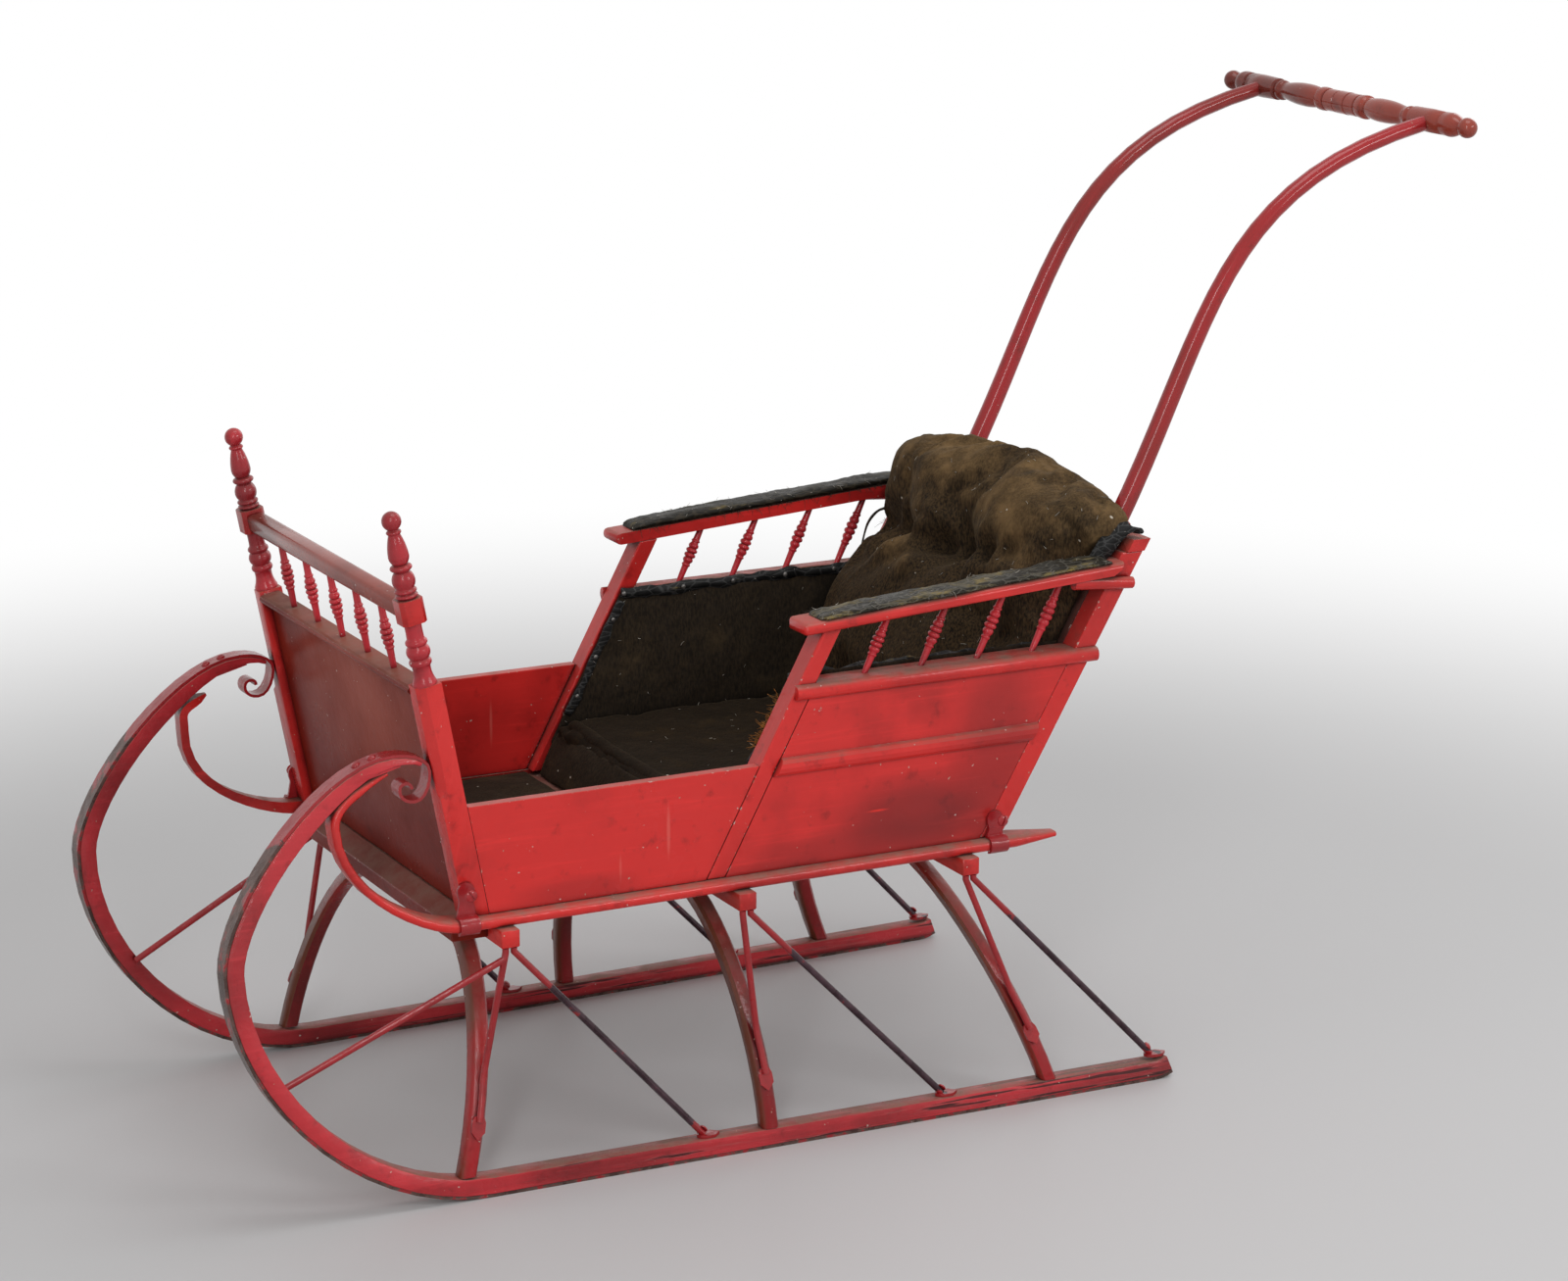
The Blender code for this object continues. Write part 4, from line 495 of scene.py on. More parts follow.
COLUMNS = ("colour", "browned", "grain", "gloss", "dust", "brown", "ahead_shade", "lumpy", "cracked")
FINISHES = {
    "panel": (RED, DEEP_RED, ALONG, 0.27, 0.7, 0.35, 0.0, 0.25, 0.0),
    "stile": (RED, DEEP_RED, STILE_TURN, 0.27, 0.85, 0.3, 0.0, 0.4, 0.0),
    "post": (RED, DEEP_RED, POST_TURN, 0.22, 0.6, 0.4, 0.0, 0.5, 0.0),
    "across": (RED, DEEP_RED, ACROSS, 0.3, 0.9, 0.5, 0.3, 0.5, 0.0),
    "dash": ((0.200, 0.016, 0.008), (0.100, 0.007, 0.004), ACROSS, 0.30, 0.75, 0.55, 0.0, 0.3, 0.0),
    "runner": ((0.58, 0.036, 0.046), (0.18, 0.016, 0.018), ALONG, 0.24, 0.95, 0.6, 0.25, 0.8, 0.85),
    "bow": ((0.38, 0.014, 0.018), (0.10, 0.012, 0.011), UPRIGHT, 0.24, 0.6, 0.5, 0.9, 0.7, 0.0),
    "rail": (RED, DEEP_RED, ALONG, 0.22, 0.95, 0.4, 0.0, 0.7, 0.0),
    "turned": ((0.62, 0.034, 0.048), (0.150, 0.014, 0.016), UPRIGHT, 0.20, 0.20, 0.5, 0.0, 0.4, 0.0),
    "bar": ((0.340, 0.056, 0.036), (0.100, 0.018, 0.013), ACROSS, 0.20, 0.1, 0.45, 0.0, 0.15, 0.0),
    "handle": ((0.40, 0.020, 0.024), (0.17, 0.024, 0.016), STILE_TURN, 0.16, 0.0, 0.4, 0.0, 0.06, 0.0),
    "board": ((0.12, 0.018, 0.014), (0.05, 0.012, 0.009), ACROSS, 0.5, 0.6, 0.7, 0.0, 0.3, 0.0),
}
SIDE_MARKS = (                      # middle, stretch, reach, colour, strength
    ((-0.045, 0.226, 0.312), (0.55, 0.0, 1.3), 0.070, (0.090, 0.012, 0.012), 0.62),
    ((-0.135, 0.226, 0.375), (1.0, 0.0, 0.6), 0.070, (0.150, 0.012, 0.012), 0.5),
    ((0.020, 0.226, 0.290), (0.35, 0.0, 2.0), 0.050, (0.150, 0.012, 0.012), 0.4),
    ((0.004, 0.226, 0.3195), (1.0, 0.0, 9.0), 0.016, (0.80, 0.030, 0.020), 0.9),
)
LOW_MARKS = (
    ((0.232, 0.222, 0.330), (9.0, 0.0, 0.7), 0.022, (0.78, 0.16, 0.13), 0.45),
    ((0.283, 0.222, 0.300), (9.0, 0.0, 0.9), 0.016, (0.78, 0.16, 0.13), 0.35),
    ((0.330, 0.222, 0.285), (0.5, 0.0, 2.2), 0.040, (0.20, 0.012, 0.012), 0.35),
)
# Painted reflection: a lighter brown-red glare over the dash's upper middle.
DASH_GLARE = (((0.40, 0.03, 0.47), (1.0, 0.55, 0.9), 0.15, (0.46, 0.095, 0.055), 0.85),)
DASH_FACE = {"gloss": 0.26, "marks": DASH_GLARE, "shine": 0.05, "coat": 0.06}
EDGE_DUST = 0.6
# The edges' pale is partly wear and partly a painted highlight.
EDGE_WEAR_AND_HIGHLIGHT = 0.3

paints = {}
for finish, row in FINISHES.items():
    look = dict(zip(COLUMNS, row))
    edge = {key: look[key] for key in ("colour", "browned", "grain", "gloss", "brown")}
    if finish == "dash":
        look.update(DASH_FACE)
    paints[finish] = (old_paint(finish + "_paint", **look),
                      old_paint(finish + "_edge", **edge, dust=row[4] * EDGE_DUST, edge_wear_and_highlight=EDGE_WEAR_AND_HIGHLIGHT))
for finish, brown, marks in (("side", 0.5, SIDE_MARKS), ("low", 0.35, LOW_MARKS)):
    face = old_paint(finish + "_paint", RED, DEEP_RED, brown=brown, dust=0.7, marks=marks)
    paints[finish] = (face, paints["panel"][1])
print("paints", len(paints))

# %% [markdown]
# The iron of the stays and braces was painted with the rest, but most of the paint has gone
# from the rods. What is left sits at their ends, near the wood. The ends are told from the
# middle by height, because every rod runs from under the body down to a runner.

# %% Iron
IRON_COLOUR = (0.045, 0.026, 0.032)
IRON_RED = (0.50, 0.016, 0.022)
IRON_DEEP_RED = (0.17, 0.012, 0.014)
IRON_CHIP = (0.55, 0.46, 0.44)


def old_iron(name, colour, paint_low, paint_high, cover):
    """Return dark iron with red paint left below and above two heights."""
    made, tree, shader, where = new_material(name)
    height = add(tree, "SeparateXYZ", {0: where}).outputs["Z"]
    patch = cloud(tree, where, 40.0, 6.0, 0.65)
    ends = maths(tree, "MAXIMUM", between(tree, height, paint_low, paint_low - 0.03),
                 between(tree, height, paint_high, paint_high + 0.03))
    left = maths(tree, "ADD", product(tree, ends, 0.45), patch)
    painted = between(tree, left, 1.0 - cover, 1.06 - cover)
    metal = blend(tree, between(tree, patch, 0.35, 0.7), colour, tuple(2.2 * x for x in colour))
    shade = blend(tree, painted, metal, blend(tree, patch, IRON_RED, IRON_DEEP_RED))
    chip = between(tree, cloud(tree, where, 120.0, 5.0, 0.7), 0.70, 0.72)
    bumps = relief(tree, cloud(tree, where, 90.0, 4.0), 0.0009)
    bumps = relief(tree, painted, 0.0002, bumps)
    fill(tree, shader, {"Base Color": blend(tree, chip, shade, IRON_CHIP),
                        "Roughness": between(tree, patch, 0.3, 0.7, 0.22, 0.42),
                        "Metallic": product(tree, maths(tree, "SUBTRACT", 1.0, painted), 0.55),
                        "Normal": bumps, "Specular IOR Level": 0.2,
                        "Coat Weight": product(tree, painted, 0.5),
                        "Coat Roughness": 0.12, "Coat Normal": bumps})
    return made


rod_iron = old_iron("rod_iron", IRON_COLOUR, 0.040, 0.190, 0.40)
stay_iron = old_iron("stay_iron", IRON_COLOUR, 0.060, 0.150, 0.72)
shoe_iron = old_iron("shoe_iron", (0.085, 0.052, 0.045), 0.0, 0.36, 0.48)
strap_iron = old_iron("strap_iron", (0.25, 0.11, 0.12), 0.5, 0.2, 0.62)
print("irons made")

# %% [markdown]
# The wooden pieces of the frame keep their shape. A Weld joins each one's faces again at
# their corners. Flat pieces then get softened edges from a Bevel, which gives the thin faces
# it makes to the second material slot, so the rubbed edges, partly worn and partly painted
# highlight, know where they are. Bent and round pieces are shaded evenly instead: only
# corners steeper than an angle stay sharp, so their gloss runs along them in unbroken lines.

# %% Dress the wooden and iron pieces
WOODEN = (                          # start of the node's name, paint, edge width in metres
    ("runner_", "runner", 0.0),
    ("bow_", "bow", 0.0),
    ("cross_beam_", "across", 0.0),
    ("sill_", "rail", 0.0),
    ("floor_board", "board", 0.0008),
    ("front_rail", "dash", 0.0009),
    ("dash_panel", "dash", 0.0007),
    ("low_panel_", "low", 0.0011),
    ("front_stile_", "stile", 0.0012),
    ("side_panel_", "side", 0.0006),
    ("rear_stile_", "stile", 0.0012),
    ("armrest_", "panel", 0.0),
    ("back_board", "board", 0.0010),
    ("crest_rail", "across", 0.0010),
    ("seat_board", "board", 0.0010),
    ("handle", "handle", 0.0),
)
IRON = (("shoe_", shoe_iron), ("leg_stay_", stay_iron), ("diagonal_brace_", rod_iron),
        ("corner_strap_", strap_iron))
WELD_REACH = 0.00002
BEVEL_ANGLE = math.radians(38)
SHARP_ANGLE = math.radians(46)

even_shading = bpy.data.node_groups.new("even_shading", "GeometryNodeTree")
for way in ("INPUT", "OUTPUT"):
    even_shading.interface.new_socket("Geometry", in_out=way, socket_type="NodeSocketGeometry")
given = even_shading.nodes.new("NodeGroupInput")
result = even_shading.nodes.new("NodeGroupOutput")
corner = even_shading.nodes.new("GeometryNodeInputMeshEdgeAngle")
steep = even_shading.nodes.new("FunctionNodeCompare")
shaded = even_shading.nodes.new("GeometryNodeSetMeshNormal")
fill(even_shading, steep, {0: corner.outputs["Unsigned Angle"], 1: SHARP_ANGLE})
fill(even_shading, shaded, {"Mesh": given.outputs[0], "Remove Custom": True,
                            "Edge Sharpness": steep.outputs["Result"], "Face Sharpness": False})
fill(even_shading, result, {0: shaded.outputs[0]})


def soften(thing, width):
    """Weld a node's loose faces, then round its sharp edges or shade it evenly."""
    thing.modifiers.new("weld", "WELD").merge_threshold = WELD_REACH
    if width:
        rounded = thing.modifiers.new("edges", "BEVEL")
        rounded.width = width
        rounded.segments = 2
        rounded.limit_method = "ANGLE"
        rounded.angle_limit = BEVEL_ANGLE
        rounded.material = 1
    else:
        thing.modifiers.new("shading", "NODES").node_group = even_shading


def dress(start, materials, width=0.0):
    """Give the nodes whose names start alike their materials and edges."""
    for name, thing in nodes.items():
        if name.startswith(start) and not name.startswith("armrest_pad"):
            thing.data.materials.clear()
            for material in materials:
                thing.data.materials.append(material)
            soften(thing, width)


for start, finish, width in WOODEN:
    dress(start, paints[finish], width)
for start, iron in IRON:
    dress(start, [iron])
print("kinds of piece dressed", len(WOODEN) + len(IRON))

# %% [markdown]
# The posts, spindles and handlebar were turned on a lathe. The lathe spins a square blank and
# a gouge cuts beads, coves and tapers into it. Here each turning is a table of height, radius
# and bulge: from one row to the next the outline runs straight, swells into a bead where the
# bulge is positive, and hollows into a cove where it is negative. The frame's own turnings
# have few sides, so they are turned again with many. Flat parts keep the frame's faces, cut
# from the node by planes.

# %% Lathe and saw
LATHE_STEPS = 40
CREASE_ANGLE = math.radians(50)


def outline_of(turning):
    """Return (height, radius) points of a turning given as (height, radius, bulge) rows."""
    points = [turning[0][:2]]
    for (low, start, _), (high, end, bulge) in zip(turning, turning[1:]):
        count = 8 if bulge else 1
        for i in range(1, count + 1):
            share = i / count
            swell = bulge * math.sin(math.pi * share) ** 0.75
            points.append((low + (high - low) * share, start + (end - start) * share + swell))
    return points


def ball(centre, radius, first, last):
    """Return outline points round a ball between two angles in degrees."""
    angles = [math.radians(first + (last - first) * i / 10) for i in range(11)]
    return [(centre + radius * math.sin(a), radius * math.cos(a)) for a in angles]


def turn(name, points, place, finish, node, slot="red_paint"):
    """Spin an outline about local Z, put it in its place and return the piece."""
    angles = [2 * math.pi * j / LATHE_STEPS for j in range(LATHE_STEPS)]
    shape = bmesh.new()
    tube(shape, [[(radius * math.cos(a), radius * math.sin(a), height) for a in angles]
                 for height, radius in points])
    mesh = mesh_of(name, shape)
    mesh.transform(place)
    piece = make_piece(name, mesh, paints[finish][0], [node])
    mesh.set_sharp_from_angle(angle=CREASE_ANGLE)
    return piece


def cut_out(name, node, cuts, finish, width):
    """Keep the part of a node behind some planes, as a piece that stands for the node."""
    shape = bmesh.new()
    shape.from_mesh(nodes[node].data)
    shape.transform(nodes[node].matrix_world)
    bmesh.ops.remove_doubles(shape, verts=shape.verts, dist=WELD_REACH)
    for point, normal in cuts:
        around = shape.verts[:] + shape.edges[:] + shape.faces[:]
        cut = bmesh.ops.bisect_plane(shape, geom=around, plane_co=point, plane_no=normal, clear_outer=True)
        loose = [item for item in cut["geom_cut"] if isinstance(item, bmesh.types.BMEdge)]
        bmesh.ops.holes_fill(shape, edges=loose, sides=0)
    mesh = closed_mesh(name, shape)
    piece = make_piece(name, mesh, paints[finish][0], [node])
    mesh.materials.append(paints[finish][1])
    soften(piece, width)
    return piece


print("lathe steps", LATHE_STEPS)

# %% [markdown]
# Each dash post is one stick: square at the foot, turned above it, square again in the block
# that takes the rail, and turned into a finial with a ball on top. The post leans forward
# with the dash, so its pieces are placed in the dash's own leaning frame.

# %% Dash posts
DASH_LEAN = 0.19
POST_SQUARE_TOP = 0.2331            # up the post from its foot
BLOCK_LOW = 0.061                   # above the square part
BLOCK_HIGH = 0.085
SLICE = 0.0002                      # a plane lies just inside the flat end that it cuts at
POST_TURNING = (                    # height above the square part, radius, bulge
    (-0.001, 0.0117, 0.0), (0.002, 0.0117, 0.0), (0.0150, 0.0086, -0.0008), (0.0180, 0.0087, 0.0),
    (0.0185, 0.0092, 0.0), (0.0250, 0.0092, 0.0016), (0.0255, 0.0088, 0.0), (0.0265, 0.0094, 0.0),
    (0.0375, 0.0094, 0.0020), (0.0385, 0.0088, 0.0), (0.0390, 0.0092, 0.0), (0.0440, 0.0092, 0.0014),
    (0.0455, 0.0083, 0.0), (0.0615, 0.0084, -0.0003),
)
FINIAL_TURNING = (
    (0.0840, 0.0092, 0.0), (0.0855, 0.0092, 0.0), (0.0895, 0.0092, 0.0016), (0.0902, 0.0088, 0.0),
    (0.0945, 0.0088, 0.0018), (0.0952, 0.0086, 0.0), (0.1110, 0.0074, 0.0030), (0.1122, 0.0084, 0.0),
    (0.1175, 0.0084, 0.0022), (0.1183, 0.0068, 0.0), (0.1270, 0.0098, 0.0010), (0.1465, 0.0058, 0.0008),
    (0.1475, 0.0058, 0.0), (0.1512, 0.0058, 0.0014), (0.1525, 0.0050, 0.0),
)
FINIAL_BALL = (0.160, 0.0093, -55, 86)      # centre, radius, first and last angle

post_low, post_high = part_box("dash_post_left")
post_half = (post_high.y - post_low.y) / 2
post_y = (post_high.y + post_low.y) / 2
dash_angle = math.atan(DASH_LEAN)
dash_x = post_low.x + post_half / math.cos(dash_angle)
dash_frame = Matrix.Translation((dash_x, 0.0, post_low.z)) @ Matrix.Rotation(dash_angle, 4, "Y")
up_dash = dash_frame.to_3x3() @ Vector((0.0, 0.0, 1.0))


def on_dash(height):
    """Return the point of the dash's middle line at a height up its lean."""
    return dash_frame @ Vector((0.0, 0.0, height))


square_cuts = [(on_dash(POST_SQUARE_TOP - SLICE), up_dash)]
block_cuts = [(on_dash(POST_SQUARE_TOP + BLOCK_HIGH - SLICE), up_dash),
              (on_dash(POST_SQUARE_TOP + BLOCK_LOW + SLICE), -up_dash)]
for side_name, side in SIDES:
    node = "dash_post_" + side_name
    spot = dash_frame @ Matrix.Translation((0.0, side * post_y, POST_SQUARE_TOP))
    cut_out("post_square_" + side_name, node, square_cuts, "post", 0.0008)
    cut_out("post_block_" + side_name, node, block_cuts, "post", 0.0016)
    turn("post_turning_" + side_name, outline_of(POST_TURNING), spot, "turned", node)
    turn("post_finial_" + side_name, outline_of(FINIAL_TURNING) + ball(*FINIAL_BALL), spot, "turned", node)
print("dash leans", round(math.degrees(dash_angle), 2), "degrees")

# %% [markdown]
# Slim spindles stand in two kinds of gallery: between the dash's cap and its rail, and
# between a rail on each side and the armrest. All have the same turning, a collar, four beads
# and a collar, fitted to the length between the rails. The side ones lean with the stiles.

# %% Spindles
SPINDLE_CRESTS = (0.0014, 0.0022, 0.0022, 0.0014)
SPINDLE_WAIST = 0.0041
SPINDLE_SHAFT = 0.0029
SPINDLE_SWELL = 0.0036              # where the shaft meets a collar
COLLAR_RADIUS = 0.0038
COLLAR_BULGE = 0.0009
DASH_BEADS = (0.27, 0.72)           # beaded stretch, as shares of the spindle
SIDE_BEADS = (0.27, 0.74)
SPINDLE_SINK = 0.001                # how far a spindle goes into the rail below it
RAIL_SLICE = 0.00015
DASH_SPINDLES = 5
RAIL_UNDERSIDE = 0.297
CAP_TOP = 0.230
SIDE_SPINDLES = 4
SPINDLE_FIRST_X = 0.014
SPINDLE_PITCH = 0.063
SPINDLE_LEAN = math.atan(0.478)
ARM_FALL = 0.066                    # how much the armrest falls for each metre ahead
RAIL_TOP = 0.458


def spindle_outline(length, beads):
    """Return a slim spindle's outline with a collar, four beads and a collar."""
    low, high = (length * share for share in beads)
    pitch = (high - low) / (len(SPINDLE_CRESTS) + 2)
    rows = [(0.0, SPINDLE_SHAFT, 0.0), (low, SPINDLE_SWELL, 0.0), (low + pitch * 0.2, COLLAR_RADIUS, 0.0),
            (low + pitch * 0.7, COLLAR_RADIUS, COLLAR_BULGE), (low + pitch, SPINDLE_WAIST, 0.0)]
    rows += [(low + pitch * (i + 2), SPINDLE_WAIST, crest) for i, crest in enumerate(SPINDLE_CRESTS)]
    rows += [(high - pitch * 0.7, COLLAR_RADIUS, 0.0), (high - pitch * 0.2, COLLAR_RADIUS, COLLAR_BULGE),
             (high, SPINDLE_SWELL, 0.0), (length, SPINDLE_SHAFT, 0.0)]
    return outline_of(rows)


cut_out("dash_rail", "dash_gallery", [(on_dash(RAIL_UNDERSIDE + RAIL_SLICE), -up_dash)], "bar", 0.0)
dash_half = post_y - post_half
dash_spindle = spindle_outline(RAIL_UNDERSIDE - CAP_TOP + 0.004, DASH_BEADS)
for i in range(DASH_SPINDLES):
    y = dash_half * (2 * (i + 1) / (DASH_SPINDLES + 1) - 1)
    spot = dash_frame @ Matrix.Translation((0.0, y, CAP_TOP - SPINDLE_SINK))
    turn("dash_spindle_" + str(i + 1), dash_spindle, spot, "turned", "dash_gallery")

arm_low, arm_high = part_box("armrest_left")
rail_cuts = [(Vector((0.0, 0.0, RAIL_TOP + RAIL_SLICE)), Vector((0.0, 0.0, 1.0)))]
for side_name, side in SIDES:
    node = "arm_gallery_" + side_name
    cut_out("side_rail_" + side_name, node, rail_cuts, "rail", 0.0007)
    for i in range(SIDE_SPINDLES):
        foot = Vector((SPINDLE_FIRST_X - SPINDLE_PITCH * i, side * post_y, RAIL_TOP - SPINDLE_SINK))
        rise = arm_low.z - foot.z + ARM_FALL * (arm_high.x - foot.x)
        length = rise / (1 - ARM_FALL * math.tan(SPINDLE_LEAN)) / math.cos(SPINDLE_LEAN)
        spot = Matrix.Translation(foot) @ Matrix.Rotation(-SPINDLE_LEAN, 4, "Y")
        outline = spindle_outline(length + 0.003, SIDE_BEADS)
        turn("spindle_" + side_name + "_" + str(i + 1), outline, spot, "turned", node)
print("spindles", DASH_SPINDLES + 2 * SIDE_SPINDLES)

# %% [markdown]
# The handlebar is turned from one stick too: a fat middle between grooves, a long taper, a
# block that takes each arm, and a ball at each end. The table holds one half, from the middle
# outwards, and the other half is its mirror.

# %% Handlebar
HANDLE_TURNING = (                  # distance from the bar's middle, radius, bulge
    (0.0000, 0.0120, 0.0), (0.0088, 0.0121, 0.0), (0.0096, 0.0108, 0.0), (0.0106, 0.0108, 0.0),
    (0.0114, 0.0118, 0.0), (0.0270, 0.0118, 0.0), (0.0280, 0.0101, 0.0), (0.0298, 0.0101, 0.0),
    (0.0308, 0.0120, 0.0), (0.0415, 0.0125, 0.0004), (0.0425, 0.0112, 0.0), (0.0460, 0.0100, -0.0005),
    (0.0730, 0.0123, 0.0008), (0.1085, 0.0088, 0.0009), (0.1140, 0.0089, 0.0), (0.1148, 0.0098, 0.0),
    (0.1220, 0.0098, 0.0011), (0.1236, 0.0091, 0.0), (0.1255, 0.0092, 0.0), (0.1268, 0.0117, 0.0),
    (0.1550, 0.0124, 0.0), (0.1770, 0.0120, 0.0), (0.1786, 0.0104, 0.0), (0.1804, 0.0104, 0.0),
    (0.1816, 0.0122, 0.0), (0.1880, 0.0123, 0.0), (0.2072, 0.0050, 0.0024),
)
HANDLE_BALL = (0.217, 0.0105, -58, 86)      # centre, radius, first and last angle

bar_low, bar_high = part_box("handlebar")
half_bar = outline_of(HANDLE_TURNING) + ball(*HANDLE_BALL)
whole_bar = [(-place, radius) for place, radius in half_bar[:0:-1]] + half_bar
spot = Matrix.Translation((bar_low + bar_high) / 2) @ Matrix.Rotation(math.radians(-90), 4, "X")
turn("turned_handlebar", whole_bar, spot, "bar", "handlebar", "handle_paint")
print("bar length", round(bar_high.y - bar_low.y, 4), "m")

# %% [markdown]
# The upholstery is worn plush: dark brown pile with a golden cast where it is rubbed, and
# white lint caught in it. Towards the top of the back the gold is lifted and low down it is
# lowered, as painted light and painted shade. Creases and closed-in places are darkened as
# painted shade. Pile shines at its rim, which the sheen gives. The arm pads and edge strips
# are black oilcloth, cracked and pale where they were folded or rubbed.

# %% Plush and oilcloth
PLUSH_SHADOW = (0.004, 0.003, 0.002)
LINT_COLOUR = (0.55, 0.50, 0.42)
SHEEN_TINT = (0.55, 0.40, 0.22)
OLIVE = (0.120, 0.105, 0.070)
YELLOWED = (0.23, 0.17, 0.055)
FLAKE_COLOUR = (0.42, 0.39, 0.35)


def faded(colour, share):
    """Return a colour times a share."""
    return tuple(share * x for x in colour)


def worn_plush(name, dark, gold, gold_share, lint=1.0, painted_top_light=0.0):
    """Return dark pile cloth with lint and golden patches, more of them higher up as painted light if
    painted_top_light is set.
    """
    made, tree, shader, where = new_material(name)
    patch = cloud(tree, where, 11.0, 6.0, 0.65)
    pile = cloud(tree, stretched(tree, where, (500.0, 500.0, 160.0)), 1.0, 3.0, 0.6)
    crease = cloud(tree, where, 48.0, 5.0, 0.6)
    height = add(tree, "SeparateXYZ", {0: where}).outputs["Z"]
    # Painted light on the back's top and painted shade low down: more gold higher up.
    patch = maths(tree, "ADD", patch, between(tree, height, 0.42, 0.62, -painted_top_light, painted_top_light))
    rubbed = between(tree, patch, 0.62 - 0.25 * gold_share, 0.86 - 0.25 * gold_share)
    shade = blend(tree, rubbed, dark, gold)
    # Painted shade: darker in the hollows of the crease bumps.
    shade = blend(tree, between(tree, crease, 0.35, 0.7, 0.6, 0.0), shade, faded(dark, 0.35))
    shade = blend(tree, between(tree, pile, 0.3, 0.7, 0.0, 0.16), shade, faded(gold, 2.2))
    # Painted shade: closed-in places darken towards the plush's shadow colour.
    corner_shade = add(tree, "AmbientOcclusion", {"Distance": 0.03}, samples=6).outputs["AO"]
    shade = blend(tree, between(tree, corner_shade, 0.7, 0.2, 0.0, 0.8), shade, PLUSH_SHADOW)
    spread = stretched(tree, where, (60.0, 85.0, 120.0), (0.4, 0.7, 0.2))
    fluff = add(tree, "TexVoronoi", {"Vector": spread, "Scale": 1.0}).outputs
    chosen = add(tree, "SeparateColor", {0: fluff["Color"]}).outputs[0]
    chosen = maths(tree, "GREATER_THAN", chosen, 1.0 - 0.045 * lint)
    dots = product(tree, between(tree, fluff["Distance"], 0.16, 0.08), chosen)
    bumps = relief(tree, pile, 0.0005, relief(tree, crease, 0.0022))
    fill(tree, shader, {"Base Color": blend(tree, dots, shade, LINT_COLOUR), "Roughness": 0.9,
                        "Normal": bumps, "Specular IOR Level": 0.12, "Sheen Weight": 0.10,
                        "Sheen Roughness": 0.30, "Sheen Tint": SHEEN_TINT})
    return made


def oilcloth(name, dark, pale_share, crack_colour):
    """Return black cracked oilcloth with olive and yellowed patches where the face has gone."""
    made, tree, shader, where = new_material(name)
    patch = cloud(tree, stretched(tree, where, (16.0, 60.0, 60.0)), 1.0, 6.0, 0.65)
    wrinkle = cloud(tree, stretched(tree, where, (45.0, 190.0, 190.0)), 1.0, 5.0, 0.7)
    cells = {"Vector": stretched(tree, where, (70.0, 170.0, 170.0)), "Scale": 1.0}
    cracks = add(tree, "TexVoronoi", cells, feature="DISTANCE_TO_EDGE").outputs["Distance"]
    worn = between(tree, patch, 0.64 - 0.2 * pale_share, 0.74 - 0.2 * pale_share)
    tint = blend(tree, between(tree, cloud(tree, where, 50.0), 0.4, 0.6), OLIVE, YELLOWED)
    shade = blend(tree, worn, dark, tint)
    shade = blend(tree, between(tree, wrinkle, 0.45, 0.62, 0.0, 0.6), shade, faded(dark, 0.3))
    shade = blend(tree, product(tree, between(tree, cracks, 0.09, 0.02), 0.6), shade, crack_colour)
    flake = between(tree, cloud(tree, where, 150.0, 5.0, 0.7), 0.67, 0.70)
    bumps = relief(tree, wrinkle, 0.0009, relief(tree, patch, 0.0018))
    fill(tree, shader, {"Base Color": blend(tree, flake, shade, FLAKE_COLOUR),
                        "Roughness": between(tree, patch, 0.3, 0.7, 0.34, 0.6),
                        "Normal": relief(tree, cracks, 0.0005, bumps), "Specular IOR Level": 0.14})
    return made


def plain_fibre(name, colour, rough):
    """Return the finish of loose threads: one colour that varies a little along them."""
    made, tree, shader, where = new_material(name)
    varied = between(tree, cloud(tree, where, 90.0, 3.0), 0.35, 0.65)
    fill(tree, shader, {"Base Color": blend(tree, varied, colour, faded(colour, 0.45)),
                        "Roughness": rough, "Specular IOR Level": 0.2})
    return made


plush = worn_plush("plush", (0.0125, 0.0090, 0.0065), (0.175, 0.108, 0.048), 0.58, 1.0, 0.15)
# Painted shade: the seat's plush is a darker copy of the back's.
shaded_seat_plush = worn_plush("shaded_seat_plush", (0.0085, 0.0055, 0.0036), (0.034, 0.020, 0.0075), 0.5, 0.7)
dark_plush = worn_plush("dark_plush", (0.0180, 0.0135, 0.0100), (0.062, 0.042, 0.022), 0.5)
pad_cloth = oilcloth("pad_cloth", (0.017, 0.014, 0.009), 0.65, (0.13, 0.12, 0.10))
far_pad_cloth = oilcloth("far_pad_cloth", (0.011, 0.009, 0.006), 0.35, (0.05, 0.04, 0.025))
binding_cloth = oilcloth("binding_cloth", (0.016, 0.016, 0.016), 0.25, (0.08, 0.08, 0.08))
tack_iron = old_iron("tack_iron", (0.10, 0.095, 0.09), 0.0, 9.0, 0.0)
lint_fibre = plain_fibre("lint_fibre", (0.62, 0.58, 0.50), 0.8)
straw_fibre = plain_fibre("straw_fibre", (0.48, 0.20, 0.045), 0.7)
thread_fibre = plain_fibre("thread_fibre", (0.075, 0.058, 0.042), 0.8)
print("cloths and fibres made")

# %% [markdown]
# The seat sits between leaning planes. The back plane is the rear edge of the rear stiles,
# and the front plane is the front edge of the front stiles. Both are read from the frame, so
# every soft piece is built on what carries it.

# %% Planes of the seat
REAR_STILE_WIDTH = 0.024
FRONT_LEAN = 0.54

